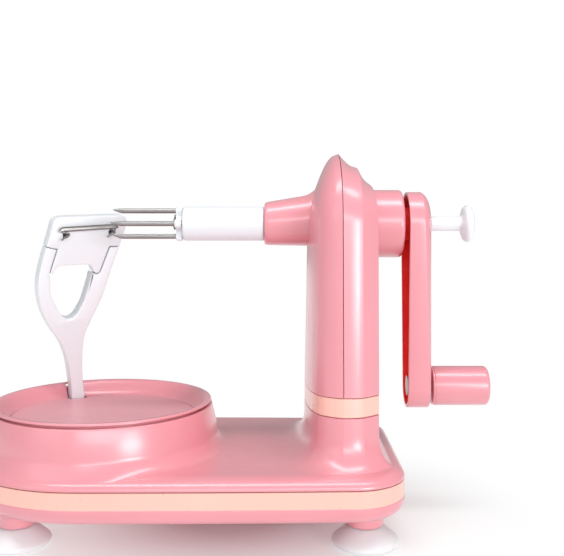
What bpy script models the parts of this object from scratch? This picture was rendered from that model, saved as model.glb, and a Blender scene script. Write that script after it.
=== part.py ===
"""Hand-cranked apple peeler: base, column, turntable with peeler arm, fork, crank and gear train.

Metres, +Z up, +X towards the crank, origin under the middle of the object on the table.
"""
import math

import bmesh
import bpy
from mathutils import Matrix, Vector

MM = 0.001
GAP = 0.3 * MM              # clearance kept between touching pieces
UP = Vector((0, 0, 1))

# Base
TABLE_X = -70.1 * MM        # turntable axis
BASE_LEFT_R = 70.4 * MM     # left end, measured from the turntable axis
BASE_HALF_W = 68.2 * MM     # half width at the accent band
BASE_END_HALF_W = 66.0 * MM
BASE_RIGHT_X = 89.6 * MM
BASE_CORNER_R = 27.5 * MM
BASE_BOTTOM_Z = 15.9 * MM
BAND_BOTTOM_Z = 23.9 * MM
BAND_TOP_Z = 32.3 * MM
BASE_TOP_Z = 38.1 * MM
BASE_EDGE_R = 5.0 * MM
BASE_LOWER_EDGE_R = 6.5 * MM
WALL = 2.4 * MM
BAND_INSET = 0.2 * MM
BAND_T = 2.2 * MM

# Feet
FOOT_X = (-103.4 * MM, 69.3 * MM)
FOOT_Y = 44.0 * MM
FOOT_POST_R = 9.0 * MM
FOOT_POST_BOTTOM_Z = 9.7 * MM
CUP_R = 16.7 * MM
CUP_RIM_W = 4.2 * MM
CUP_HOLLOW = 2.6 * MM
CUP_STUD_R = 3.5 * MM
CUP_STUD_TOP_Z = 14.0 * MM

# Pedestal and turntable
PEDESTAL_TOP_R = 59.2 * MM
PEDESTAL_MID_R = 62.4 * MM
PEDESTAL_MID_Z = 44.5 * MM
PEDESTAL_COVE_R = 66.5 * MM
PEDESTAL_TOP_Z = 60.0 * MM
PEDESTAL_FLOOR_Z = 38.0 * MM
RING_R = 59.0 * MM
RING_LIP_GAP = 1.2 * MM       # open joint between the ring's lip and the pedestal
RING_TOP_Z = 62.5 * MM
RING_SKIRT_R = 56.2 * MM
DISC_R = 49.5 * MM
DISC_TOP_Z = 54.7 * MM
DISC_T = 2.6 * MM
DISH_FLOOR_T = 2.2 * MM
HUB_R = 10.0 * MM
POST_R = 4.0 * MM

# Column
SEAM_X = 58.4 * MM
SHAFT_Z = 158.6 * MM
COLUMN_HALF_W = 49.0 * MM           # at the accent band
COLUMN_SHAFT_HALF_W = 45.0 * MM     # at the height of the drive shaft
ARCH_RISE = 38.0 * MM
FRONT_DEPTH = 16.4 * MM
FRONT_DEPTH_FOOT = 18.6 * MM
REAR_DEPTH = 18.6 * MM
COLUMN_BAND_BOTTOM_Z = 63.1 * MM
COLUMN_BAND_TOP_Z = 72.4 * MM
FOOT_FLARE = 10.5 * MM
NOSE_X = 18.5 * MM
NOSE_TIP_R = 11.7 * MM
NOSE_ROOT_R = 14.5 * MM
NOSE_RISE = 2.0 * MM
BOSS_R = 18.5 * MM
BOSS_X = 93.5 * MM

# Spindle
SHAFT_R = 5.0 * MM
SHAFT_BORE_R = 2.6 * MM
SLEEVE_R = 9.35 * MM
SLEEVE_LEFT_X = -26.1 * MM
PRONG_R = 1.35 * MM
PRONG_CIRCLE_R = 7.0 * MM
PRONG_TIP_X = -65.0 * MM
PRONG_POINT = 5.0 * MM
BUSH_WALL = 2.4 * MM

# Crank
CRANK_R = 88.9 * MM
CRANK_INNER_X = 96.0 * MM
CRANK_OUTER_X = 108.4 * MM
CRANK_HUB_END_R = 17.4 * MM
CRANK_GRIP_END_R = 11.8 * MM
GRIP_R = 10.6 * MM
GRIP_X = (109.7 * MM, 140.5 * MM)
GRIP_EDGE_R = 2.2 * MM
HANDLE_PIN_R = 3.0 * MM

# Ejector
ROD_R = 2.1 * MM
STEM_R = 4.0 * MM
STEM_X = (109.5 * MM, 126.7 * MM)
KNOB_R = 10.2 * MM
KNOB_T = 5.9 * MM
EJECTOR_PLATE_X = (-30.0 * MM, -26.5 * MM)

# Gear train: single-start worm, wheel, pinion, idler and turntable gear (30 turns to one)
WORM_MODULE = 1.25 * MM
WHEEL_TEETH = 15
WORM_R = 7.0 * MM
GEAR_MODULE = 2.0 * MM
PINION_TEETH = 18
IDLER_TEETH = 38
TABLE_TEETH = 36
GEAR_Z = (25.8 * MM, 31.8 * MM)
WHEEL_T = 6.0 * MM
LAYSHAFT_Y = WORM_R + WORM_MODULE * WHEEL_TEETH / 2

# Peeler arm
ARM_ANGLE = math.radians(120)       # where the arm stands round the turntable
ARM_RADIUS = 50.4 * MM
ARM_PIVOT_Z = 46.5 * MM
ARM_LEAN = math.radians(8.64)       # the arm leans in over the turntable
ARM_T = 9.4 * MM
ARM_PIN_R = 1.5 * MM

PINK = (0.86, 0.36, 0.42)
PEACH = (0.95, 0.58, 0.50)
MAUVE = (0.77, 0.37, 0.42)
WHITE = (0.86, 0.86, 0.88)
MILKY = (0.80, 0.79, 0.80)
STEEL = (0.42, 0.41, 0.40)
NYLON = (0.75, 0.73, 0.68)


def clear_scene():
    for obj in list(bpy.data.objects):
        bpy.data.objects.remove(obj, do_unlink=True)


def material(name, colour, roughness, metallic=0.0):
    mat = bpy.data.materials.get(name) or bpy.data.materials.new(name)
    mat.use_nodes = True
    shader = mat.node_tree.nodes["Principled BSDF"]
    shader.inputs["Base Color"].default_value = (*colour, 1.0)
    shader.inputs["Roughness"].default_value = roughness
    shader.inputs["Metallic"].default_value = metallic
    return mat


def pink_gloss():
    return material("pink_gloss", PINK, 0.25)


def peach_gloss():
    return material("peach_gloss", PEACH, 0.25)


def mauve_satin():
    return material("mauve_satin", MAUVE, 0.45)


def white_plastic():
    return material("white_plastic", WHITE, 0.35)


def milky_rubber():
    return material("milky_rubber", MILKY, 0.4)


def steel():
    return material("steel", STEEL, 0.3, 1.0)


def nylon():
    return material("nylon", NYLON, 0.5)


def add_object(name, mesh_data, mat, location=(0, 0, 0), rotation=(0, 0, 0), parent=None):
    """Turn a bmesh into a named object, smooth shaded with sharp creases."""
    bmesh.ops.recalc_face_normals(mesh_data, faces=mesh_data.faces)
    mesh = bpy.data.meshes.new(name)
    mesh_data.to_mesh(mesh)
    mesh_data.free()
    mesh.materials.append(mat)
    mesh.shade_smooth()
    mesh.set_sharp_from_angle(angle=math.radians(35))
    obj = bpy.data.objects.new(name, mesh)
    bpy.context.collection.objects.link(obj)
    obj.location = location
    obj.rotation_euler = rotation
    obj.parent = parent
    return obj


def pivot(name, location, rotation=(0, 0, 0), parent=None):
    """An empty on a joint's axis, which the moving pieces hang from."""
    empty = bpy.data.objects.new(name, None)
    bpy.context.collection.objects.link(empty)
    empty.location = location
    empty.rotation_euler = rotation
    empty.parent = parent
    return empty


def boolean(obj, tool_mesh, operation, location=(0, 0, 0), rotation=(0, 0, 0)):
    """Join or cut a hidden tool shape with a Boolean modifier."""
    tool = add_object(obj.name + "_tool", tool_mesh, obj.data.materials[0], location, rotation, obj.parent)
    tool.hide_render = True
    tool.display_type = "WIRE"
    modifier = obj.modifiers.new(operation.lower(), "BOOLEAN")
    modifier.operation = operation
    modifier.object = tool
    modifier.solver = "EXACT"


def turned(profile, steps=32):
    """Spin a closed (radius, height) outline round Z."""
    shape = bmesh.new()
    verts = [shape.verts.new((r, 0, z)) for r, z in profile]
    edges = [shape.edges.new((a, b)) for a, b in zip(verts, verts[1:] + verts[:1])]
    on_axis = [e for e in edges if all(v.co.x < 1e-9 for v in e.verts)]
    for edge in on_axis:
        shape.edges.remove(edge)
    bmesh.ops.spin(shape, geom=shape.verts[:] + shape.edges[:], cent=(0, 0, 0), axis=UP,
                   angle=2 * math.pi, steps=steps, use_merge=True)
    bmesh.ops.remove_doubles(shape, verts=shape.verts, dist=1e-7)
    return shape


def cylinder(radius, low, high, steps=16):
    return turned([(0, low), (0, high), (radius, high), (radius, low)], steps)


def tube(inner, outer, low, high, steps=16):
    return turned([(inner, low), (inner, high), (outer, high), (outer, low)], steps)


def loft(loops, ring=False):
    """Bridge loops that have the same number of points; ring closes the last loop to the first."""
    shape = bmesh.new()
    rows = [[shape.verts.new(p) for p in loop] for loop in loops]
    count = len(rows[0])
    pairs = list(zip(rows, rows[1:]))
    if ring:
        pairs.append((rows[-1], rows[0]))
    for low, high in pairs:
        for i in range(count):
            j = (i + 1) % count
            shape.faces.new((low[i], low[j], high[j], high[i]))
    if not ring:
        shape.faces.new(rows[0][::-1])
        shape.faces.new(rows[-1])
    return shape


def merge(shapes):
    """Put several separate tool shapes into one bmesh, for one Boolean cut."""
    whole = bmesh.new()
    for shape in shapes:
        part = bpy.data.meshes.new("part")
        bmesh.ops.recalc_face_normals(shape, faces=shape.faces)
        shape.to_mesh(part)
        whole.from_mesh(part)
        shape.free()
        bpy.data.meshes.remove(part)
    return whole


def moved(shape, offset, matrix=None):
    if matrix is not None:
        bmesh.ops.transform(shape, matrix=matrix, verts=shape.verts)
    bmesh.ops.translate(shape, vec=offset, verts=shape.verts)
    return shape


def smoothstep(value):
    value = min(max(value, 0.0), 1.0)
    return value * value * (3 - 2 * value)


def arc(centre, radius, start, end, count):
    """Points round an arc, angles in degrees."""
    angles = [math.radians(start + (end - start) * i / count) for i in range(count + 1)]
    return [(centre[0] + radius * math.cos(a), centre[1] + radius * math.sin(a)) for a in angles]


# ---------------------------------------------------------------- base

def base_outline(inset):
    """Plan of the base: half ellipse on the left, gently tapering sides, round corners on the right."""
    points = []
    left_steps = 18
    for i in range(left_steps + 1):
        a = math.radians(90 + 180 * i / left_steps)
        x = TABLE_X + (BASE_LEFT_R - inset) * math.cos(a)
        points.append((x, (BASE_HALF_W - inset) * math.sin(a)))
    corner_x = BASE_RIGHT_X - BASE_CORNER_R
    corner_y = BASE_END_HALF_W - BASE_CORNER_R
    side_steps = 3
    for i in range(1, side_steps):
        f = i / side_steps
        half_w = BASE_HALF_W + (BASE_END_HALF_W - BASE_HALF_W) * f * f
        points.append((TABLE_X + (corner_x - TABLE_X) * f, -(half_w - inset)))
    radius = BASE_CORNER_R - inset
    points += arc((corner_x, -corner_y), radius, -90, 0, 4)
    points += [(x, -y) for x, y in reversed(arc((corner_x, -corner_y), radius, -90, 0, 4))]
    for i in range(side_steps - 1, 0, -1):
        f = i / side_steps
        half_w = BASE_HALF_W + (BASE_END_HALF_W - BASE_HALF_W) * f * f
        points.append((TABLE_X + (corner_x - TABLE_X) * f, half_w - inset))
    return points


def base_loop(z, inset):
    return [(x, y, z) for x, y in base_outline(inset)]


def rounded_edge(radius, z_flat, direction, count=2):
    """(inset, z) pairs of a quarter round that ends in a flat face at z_flat."""
    pairs = []
    for i in range(count + 1):
        a = math.radians(90 * i / count)
        pairs.append((radius * (1 - math.cos(a)), z_flat + direction * radius * (math.sin(a) - 1)))
    return pairs


def column_half_width(z):
    if z >= SHAFT_Z:
        return COLUMN_SHAFT_HALF_W
    f = (z - COLUMN_BAND_TOP_Z) / (SHAFT_Z - COLUMN_BAND_TOP_Z)
    return COLUMN_HALF_W + (COLUMN_SHAFT_HALF_W - COLUMN_HALF_W) * f


def front_depth(z):
    f = min(1.0, (z - BASE_TOP_Z) / (SHAFT_Z - BASE_TOP_Z))
    return FRONT_DEPTH_FOOT + (FRONT_DEPTH - FRONT_DEPTH_FOOT) * f


FRONT_RINGS = (1.0, 0.985, 0.95, 0.88, 0.74, 0.5, 0.25, 0.0)
REAR_SIDE = ((1.0, 0.0), (1.0, 0.18), (0.985, 0.4), (0.965, 0.56), (0.86, 0.86), (0.79, 1.0), (0.4, 1.0), (0, 1.0))
REAR_TOP = ((1.0, 0.0), (0.895, 0.2), (0.835, 0.35), (0.815, 0.52), (0.62, 0.72), (0.52, 0.97), (0.3, 1.0),
            (0, 1.0))


def front_ring(ring, upness):
    """(share of the half width, share of the depth) of a point on the front shell."""
    radius = FRONT_RINGS[ring]
    power = 8.0 * (1 - upness) + 1.05 * upness
    return radius, math.sqrt(max(0.0, 1 - radius ** power))


def rear_ring(ring, upness):
    side = REAR_SIDE[ring]
    top = REAR_TOP[ring]
    radius = side[0] + (top[0] - side[0]) * upness
    return radius, side[1] + (top[1] - side[1]) * upness


def column_stations(bottom_z, rows, arch_steps):
    """Centre point, edge point and upness of each ray, from one foot over the arch to the other foot."""
    stations = []
    heights = [bottom_z + (SHAFT_Z - bottom_z) * i / rows for i in range(rows)]
    for z in heights:
        stations.append(((0, z), (-column_half_width(z), z), 0.0))
    for i in range(arch_steps + 1):
        a = math.pi * i / arch_steps
        edge = (-COLUMN_SHAFT_HALF_W * math.cos(a), SHAFT_Z + ARCH_RISE * math.sin(a))
        stations.append(((0, SHAFT_Z), edge, math.sin(a) ** 2))
    for z in reversed(heights):
        stations.append(((0, z), (column_half_width(z), z), 0.0))
    return stations


def column_skin(bottom_z, ring_shape, side, depth_of, wall, seam_gap):
    """Grid of points over one half shell: rows follow the edge, columns run to the middle."""
    grid = []
    for centre, edge, upness in column_stations(bottom_z, 3, 12):
        length = math.hypot(edge[0] - centre[0], edge[1] - centre[1])
        shrink = (length - wall) / length
        row = []
        for ring in range(len(FRONT_RINGS)):
            radius, share = ring_shape(ring, upness)
            y = centre[0] + (edge[0] - centre[0]) * radius * shrink
            z = centre[1] + (edge[1] - centre[1]) * radius * shrink
            depth = seam_gap + (depth_of(z) - wall - seam_gap) * share
            row.append((SEAM_X + side * depth, y, z))
        grid.append(row)
    return grid


def half_shell(bottom_z, ring_shape, side, depth_of):
    """Closed half shell: outer skin, inner skin, seam rim and bottom rim."""
    shape = bmesh.new()
    outer = [[shape.verts.new(p) for p in row]
             for row in column_skin(bottom_z, ring_shape, side, depth_of, 0.0, GAP / 2)]
    inner = [[shape.verts.new(p) for p in row]
             for row in column_skin(bottom_z, ring_shape, side, depth_of, WALL, GAP / 2)]
    last = len(outer) - 1
    for grid in (outer, inner):
        for low, high in zip(grid, grid[1:]):
            for k in range(len(low) - 1):
                shape.faces.new((low[k], low[k + 1], high[k + 1], high[k]))
    for j in range(last):
        shape.faces.new((outer[j][0], outer[j + 1][0], inner[j + 1][0], inner[j][0]))
    for j in (0, last):
        for k in range(len(outer[j]) - 1):
            shape.faces.new((outer[j][k], outer[j][k + 1], inner[j][k + 1], inner[j][k]))
    bmesh.ops.remove_doubles(shape, verts=shape.verts, dist=1e-6)
    bmesh.ops.dissolve_degenerate(shape, dist=1e-7, edges=shape.edges)
    return shape


def plan_points(z):
    """Plan outline of the column at one height, seam to seam round the front, then round the rear."""
    half_w = column_half_width(z)
    count = len(FRONT_RINGS)
    front = [front_ring(k, 0.0) for k in range(count)]
    rear = [rear_ring(k, 0.0) for k in range(1, count)]
    points = [(SEAM_X - front_depth(z) * d, -half_w * r) for r, d in front]
    points += [(x, -y) for x, y in reversed(points[:-1])]
    near = [(SEAM_X + REAR_DEPTH * d, half_w * r) for r, d in rear]
    points += near
    points += [(x, -y) for x, y in reversed(near[:-1])]
    return points


def column_outline(z, grow):
    """Plan outline pushed out (or in) along its own normals."""
    points = plan_points(z)
    count = len(points)
    moved_points = []
    for i, (x, y) in enumerate(points):
        before = points[i - 1]
        after = points[(i + 1) % count]
        along = Vector((after[0] - before[0], after[1] - before[1]))
        normal = Vector((-along.y, along.x)).normalized()
        moved_points.append((x + normal.x * grow, y + normal.y * grow, z))
    return moved_points


def foot_flare(z):
    """How far the foot of the column spreads at a height, as a hollow quarter curve."""
    rise = 8.0 * MM
    f = min(max((z - BASE_TOP_Z) / rise, 0.0), 1.0)
    return FOOT_FLARE * (1 - math.sqrt(1 - (1 - f) ** 2))


def base_screw_places():
    return [(-125 * MM, -22 * MM), (-125 * MM, 22 * MM), (74 * MM, -51 * MM), (74 * MM, 51 * MM)]


def base_upper_shell():
    lower_z = BAND_TOP_Z + GAP
    loops = [base_loop(lower_z, 0)]
    loops += [base_loop(z, inset) for inset, z in rounded_edge(BASE_EDGE_R, BASE_TOP_Z, 1)]
    shell = add_object("base_upper_shell", loft(loops), pink_gloss())

    cove = []
    for i in range(4):
        a = math.radians(25 * i)
        cove.append((PEDESTAL_MID_R + 5.2 * MM * (1 - math.cos(a)), PEDESTAL_MID_Z - 6.6 * MM * math.sin(a)))
    profile = [(0, 36.9 * MM), (0, PEDESTAL_TOP_Z), (PEDESTAL_TOP_R, PEDESTAL_TOP_Z)]
    profile += [(PEDESTAL_TOP_R + 1.2 * MM, PEDESTAL_TOP_Z - 7 * MM)]
    profile += cove + [(PEDESTAL_COVE_R, 36.9 * MM)]
    boolean(shell, turned(profile, 40), "UNION", (TABLE_X, 0, 0))

    heights = [36.9 * MM, BASE_TOP_Z] + [BASE_TOP_Z + h * MM for h in (0.4, 1.2, 2.6, 4.6, 8.0)]
    heights.append(COLUMN_BAND_BOTTOM_Z - GAP)
    foot = [column_outline(z, foot_flare(z)) for z in heights]
    boolean(shell, loft(foot), "UNION")

    roof_z = BASE_TOP_Z - WALL
    inside = [base_loop(z, inset) for z, inset in ((lower_z - MM, WALL), (34.2 * MM, WALL), (roof_z, 5 * MM))]
    boolean(shell, loft(inside), "DIFFERENCE")
    tunnel = [column_outline(z, -WALL) for z in (lower_z - MM, COLUMN_BAND_BOTTOM_Z + MM)]
    boolean(shell, loft(tunnel), "DIFFERENCE")
    well_r = PEDESTAL_TOP_R - WALL
    well = [(0, roof_z - MM), (0, RING_TOP_Z), (well_r, RING_TOP_Z), (well_r, PEDESTAL_FLOOR_Z),
            (HUB_R + 2 * GAP, PEDESTAL_FLOOR_Z), (HUB_R + 2 * GAP, roof_z - MM)]
    boolean(shell, turned(well, 40), "DIFFERENCE", (TABLE_X, 0, 0))

    posts = [moved(cylinder(3.5 * MM, 19.0 * MM, roof_z + MM, 8), (x, y, 0)) for x, y in base_screw_places()]
    boolean(shell, merge(posts), "UNION")
    holes = [moved(cylinder(1.7 * MM, 18.0 * MM, 31.0 * MM, 8), (x, y, 0)) for x, y in base_screw_places()]
    boolean(shell, merge(holes), "DIFFERENCE")


def base_accent_band():
    low = BAND_BOTTOM_Z
    high = BAND_TOP_Z
    loops = [base_loop(low, BAND_INSET), base_loop(high, BAND_INSET),
             base_loop(high, BAND_INSET + BAND_T), base_loop(low, BAND_INSET + BAND_T)]
    add_object("base_accent_band", loft(loops, ring=True), peach_gloss())


def shaft_bosses():
    """Centres, bore radii and outer radii of the tubes that hold the upright shafts."""
    return [((TABLE_X, 0), POST_R, 7.5 * MM), (idler_centre(), 3.0 * MM, 6.0 * MM),
            ((SEAM_X, LAYSHAFT_Y), 3.0 * MM, 5.6 * MM)]


def base_lower_cover():
    top_z = BAND_BOTTOM_Z - GAP
    loops = [base_loop(z, inset) for inset, z in reversed(rounded_edge(BASE_LOWER_EDGE_R, BASE_BOTTOM_Z, -1))]
    loops.append(base_loop(top_z, 0))
    cover = add_object("base_lower_cover", loft(loops), pink_gloss())
    floor_z = BASE_BOTTOM_Z + WALL
    inside = [base_loop(z, inset) for z, inset in ((floor_z, 6.6 * MM), (20.4 * MM, 3.6 * MM),
                                                  (22.4 * MM, WALL), (top_z + MM, WALL))]
    boolean(cover, loft(inside), "DIFFERENCE")
    posts = [moved(cylinder(FOOT_POST_R, FOOT_POST_BOTTOM_Z, BASE_BOTTOM_Z + MM, 16), (x, y, 0))
             for x in FOOT_X for y in (-FOOT_Y, FOOT_Y)]
    boolean(cover, merge(posts), "UNION")
    tubes = [moved(tube(inner + GAP, outer, floor_z - 0.5 * MM, 24.6 * MM, 12), (x, y, 0))
             for (x, y), inner, outer in shaft_bosses()]
    boolean(cover, merge(tubes), "UNION")
    screw_head = [(0, 14 * MM), (0, 20 * MM), (1.7 * MM, 20 * MM), (1.7 * MM, 17.3 * MM),
                  (3.2 * MM, 17.3 * MM), (3.2 * MM, 14 * MM)]
    cuts = [moved(turned(screw_head, 8), (x, y, 0)) for x, y in base_screw_places()]
    stud_hole = CUP_STUD_R + GAP
    cuts += [moved(cylinder(stud_hole, 9 * MM, CUP_STUD_TOP_Z + GAP, 10), (x, y, 0))
             for x in FOOT_X for y in (-FOOT_Y, FOOT_Y)]
    boolean(cover, merge(cuts), "DIFFERENCE")


def suction_cups():
    """Soft cups with a stud that pushes up into each foot post."""
    top = FOOT_POST_BOTTOM_Z - GAP
    profile = [(0, CUP_HOLLOW), (0, CUP_STUD_TOP_Z), (CUP_STUD_R, CUP_STUD_TOP_Z), (CUP_STUD_R, top),
               (8.2 * MM, top), (11.0 * MM, 7.6 * MM), (14.6 * MM, 4.6 * MM), (CUP_R - 0.2 * MM, 2.8 * MM),
               (CUP_R, 2.0 * MM), (CUP_R - 0.4 * MM, 0.8 * MM), (CUP_R - 1.2 * MM, 0), (CUP_R - CUP_RIM_W, 0),
               (8.0 * MM, CUP_HOLLOW - 0.4 * MM)]
    names = ("front_left", "rear_left", "front_right", "rear_right")
    places = [(x, y) for x in FOOT_X for y in (-FOOT_Y, FOOT_Y)]
    for name, (x, y) in zip(names, places):
        add_object("suction_cup_" + name, turned(profile, 16), milky_rubber(), (x, y, 0))


def screw_profile(head_r, head_h, shank_r, length):
    """Pan-head screw pointing up +Z from its head's outer face at z=0."""
    return [(0, 0), (0, length), (shank_r, length), (shank_r, head_h), (head_r, head_h), (head_r, 0)]


def base_screws():
    for i, (x, y) in enumerate(base_screw_places()):
        profile = screw_profile(2.9 * MM, 0.9 * MM, 1.35 * MM, 14 * MM)
        add_object("base_screw_%d" % (i + 1), turned(profile, 8), steel(), (x, y, 16.1 * MM))


# ---------------------------------------------------------------- column

def column_screw_places():
    return [(y * MM, z * MM) for y in (-30, 30) for z in (95, 138)]


def along_x(shape, y=0.0, z=SHAFT_Z):
    """Turn a shape made along +Z so that it lies along +X."""
    return moved(shape, (0, y, z), Matrix.Rotation(math.radians(90), 4, "Y"))


def column_front_shell():
    bottom = COLUMN_BAND_TOP_Z + GAP
    shell = add_object("column_front_shell", half_shell(bottom, front_ring, -1, front_depth), pink_gloss())
    loops = []
    nose_end = 46.0 * MM
    for i in range(3):
        f = i / 2
        radius = NOSE_TIP_R + (NOSE_ROOT_R - NOSE_TIP_R) * f
        if i == 0:
            loops.append([(NOSE_X, p, q) for p, q in arc((0, SHAFT_Z), radius - 0.8 * MM, 0, 345, 23)])
        x = NOSE_X + (nose_end - NOSE_X) * f + (0.8 * MM if i == 0 else 0)
        loops.append([(x, p, q) for p, q in arc((0, SHAFT_Z + NOSE_RISE * f), radius, 0, 345, 23)])
    boolean(shell, loft(loops), "UNION")
    posts = [along_x(cylinder(3.5 * MM, 42.5 * MM, SEAM_X - GAP / 2, 8), y, z) for y, z in column_screw_places()]
    boolean(shell, merge(posts), "UNION")
    cuts = [along_x(cylinder(1.6 * MM, 46 * MM, SEAM_X + MM, 8), y, z) for y, z in column_screw_places()]
    cuts.append(along_x(cylinder(SHAFT_R + BUSH_WALL + 2 * GAP, NOSE_X - MM, nose_end + MM, 20)))
    boolean(shell, merge(cuts), "DIFFERENCE")


def rear_depth(z):
    return REAR_DEPTH


def column_rear_shell():
    bottom = COLUMN_BAND_TOP_Z + GAP
    shell = add_object("column_rear_shell", half_shell(bottom, rear_ring, 1, rear_depth), pink_gloss())
    flat_x = SEAM_X + REAR_DEPTH
    edge = 1.6 * MM
    boss = [(0, flat_x - 1.5 * MM), (0, BOSS_X), (BOSS_R - edge, BOSS_X), (BOSS_R - 0.5 * edge, BOSS_X - 0.2 * edge),
            (BOSS_R, BOSS_X - edge), (BOSS_R, flat_x - 1.5 * MM)]
    boolean(shell, along_x(turned(boss, 28)), "UNION")
    posts = [along_x(cylinder(3.5 * MM, SEAM_X + GAP / 2, flat_x - MM, 8), y, z) for y, z in column_screw_places()]
    boolean(shell, merge(posts), "UNION")
    bore = [(0, SEAM_X), (0, flat_x + MM), (3.2 * MM, flat_x + MM), (3.2 * MM, 69 * MM), (1.6 * MM, 69 * MM),
            (1.6 * MM, SEAM_X)]
    cuts = [along_x(turned(bore, 8), y, z) for y, z in column_screw_places()]
    cuts.append(along_x(cylinder(SHAFT_R + BUSH_WALL + 2 * GAP, flat_x - 4 * MM, BOSS_X + MM, 20)))
    boolean(shell, merge(cuts), "DIFFERENCE")


def column_accent_band():
    low = COLUMN_BAND_BOTTOM_Z
    high = COLUMN_BAND_TOP_Z
    loops = [column_outline(low, 0), column_outline(high, 0), column_outline(high, -WALL), column_outline(low, -WALL)]
    add_object("column_accent_band", loft(loops, ring=True), peach_gloss())


def column_screws():
    for i, (y, z) in enumerate(column_screw_places()):
        profile = screw_profile(2.8 * MM, 1.8 * MM, 1.25 * MM, 22 * MM)
        screw = turned(profile, 8)
        add_object("column_screw_%d" % (i + 1), screw, steel(), (71.4 * MM, y, z), (0, math.radians(-90), 0))


def shaft_bushes():
    inner = SHAFT_R + GAP
    outer = inner + BUSH_WALL
    for name, low, high in (("front_bush", NOSE_X + 0.4 * MM, 45.5 * MM), ("rear_bush", 75.4 * MM, 89.4 * MM)):
        add_object(name, along_x(tube(inner, outer, low, high, 20), 0, 0), nylon(), (0, 0, SHAFT_Z))


def gear_bracket():
    """Bent plate inside the column that holds the upright shaft above and below the worm wheel."""
    outline = [(6.0, 146), (31.0, 146), (31.0, 170.5), (6.0, 170.5), (6.0, 167.5), (28.4, 167.5), (28.4, 149),
               (6.0, 149)]
    loops = [[(x * MM, y * MM, z * MM) for y, z in outline] for x in (50.5, 66.3)]
    bracket = add_object("gear_bracket", loft(loops), steel())
    boolean(bracket, cylinder(3.0 * MM + GAP, 140 * MM, 175 * MM), "DIFFERENCE", (SEAM_X, LAYSHAFT_Y, 0))


# ---------------------------------------------------------------- turntable

def arm_frame():
    """Matrix of the arm's pivot: X along the pin, Y outwards from the turntable axis."""
    place = Vector((TABLE_X + ARM_RADIUS * math.cos(ARM_ANGLE), ARM_RADIUS * math.sin(ARM_ANGLE), ARM_PIVOT_Z))
    return place, ARM_ANGLE - math.radians(90)


def in_arm_frame(shape):
    place, turn = arm_frame()
    bmesh.ops.transform(shape, matrix=Matrix.Rotation(turn, 4, "Z"), verts=shape.verts)
    return moved(shape, place)


def box(low, high):
    corners = [(low[0], low[1]), (high[0], low[1]), (high[0], high[1]), (low[0], high[1])]
    return loft([[(x, y, z) for x, y in corners] for z in (low[2], high[2])])


def arm_slot():
    """Slot through the turntable in which the foot of the arm swings outwards."""
    return in_arm_frame(box((-5.9 * MM, -6.8 * MM, -2 * MM), (4.3 * MM, 7.6 * MM, 16.5 * MM)))


def to_table(shape):
    return moved(shape, (-TABLE_X, 0, 0))


def turntable_ring(table):
    """Dish with a rounded rim, a skirt inside the pedestal, a hub down to the gear and lugs for the arm."""
    disc_low = DISC_TOP_Z - DISC_T
    floor_top = disc_low - GAP
    floor_low = floor_top - DISH_FLOOR_T
    lip_low = PEDESTAL_TOP_Z + RING_LIP_GAP
    rim = [(DISC_R + GAP, floor_top), (DISC_R + GAP, DISC_TOP_Z), (DISC_R + 1.2 * MM, DISC_TOP_Z + 1.1 * MM),
           (RING_R - 4.4 * MM, RING_TOP_Z - 1.5 * MM), (RING_R - 3.4 * MM, RING_TOP_Z - 0.5 * MM)]
    rim += [(RING_R - 2.2 * MM, RING_TOP_Z), (RING_R - 1.1 * MM, RING_TOP_Z - 0.1 * MM),
            (RING_R - 0.3 * MM, RING_TOP_Z - 0.5 * MM), (RING_R, lip_low)]
    under = [(RING_SKIRT_R, lip_low), (RING_SKIRT_R, floor_low), (HUB_R, floor_low), (HUB_R, GEAR_Z[1] + GAP),
             (POST_R + GAP, GEAR_Z[1] + GAP), (POST_R + GAP, floor_top)]
    ring = add_object("turntable_ring", turned(rim + under, 40), pink_gloss(), parent=table)
    lug_low = -3.6 * MM
    lug_top = 4.1 * MM
    lugs = [in_arm_frame(box((x * MM, -4.5 * MM, lug_low), ((x + 3.6) * MM, 4.5 * MM, lug_top)))
            for x in (-10.2, 5.2)]
    boolean(ring, to_table(merge(lugs)), "UNION")
    boolean(ring, to_table(arm_slot()), "DIFFERENCE")
    pin_hole = cylinder(ARM_PIN_R + GAP, -16 * MM, 12 * MM, 16)
    bmesh.ops.transform(pin_hole, matrix=Matrix.Rotation(math.radians(90), 4, "Y"), verts=pin_hole.verts)
    boolean(ring, to_table(in_arm_frame(pin_hole)), "DIFFERENCE")
    screws = [moved(cylinder(1.5 * MM, 30 * MM, 45 * MM, 12), (x, 0, 0)) for x in (-7.2 * MM, 7.2 * MM)]
    boolean(ring, merge(screws), "DIFFERENCE")


def turntable_disc(table):
    low = DISC_TOP_Z - DISC_T
    profile = [(0, low), (0, DISC_TOP_Z), (DISC_R - 0.5 * MM, DISC_TOP_Z), (DISC_R, DISC_TOP_Z - 0.5 * MM),
               (DISC_R, low)]
    disc = add_object("turntable_disc", turned(profile, 40), mauve_satin(), parent=table)
    boolean(disc, to_table(arm_slot()), "DIFFERENCE")


# ---------------------------------------------------------------- gears

def idler_centre():
    """The idler touches the pinion and the turntable gear, so its centre closes their triangle."""
    to_pinion = GEAR_MODULE * (PINION_TEETH + IDLER_TEETH) / 2
    to_table_gear = GEAR_MODULE * (TABLE_TEETH + IDLER_TEETH) / 2
    span = Vector((SEAM_X - TABLE_X, LAYSHAFT_Y))
    distance = span.length
    along = (to_table_gear ** 2 - to_pinion ** 2 + distance ** 2) / (2 * distance)
    off = math.sqrt(to_table_gear ** 2 - along ** 2)
    unit = span / distance
    return (TABLE_X + unit.x * along + unit.y * off, unit.y * along - unit.x * off)


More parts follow.
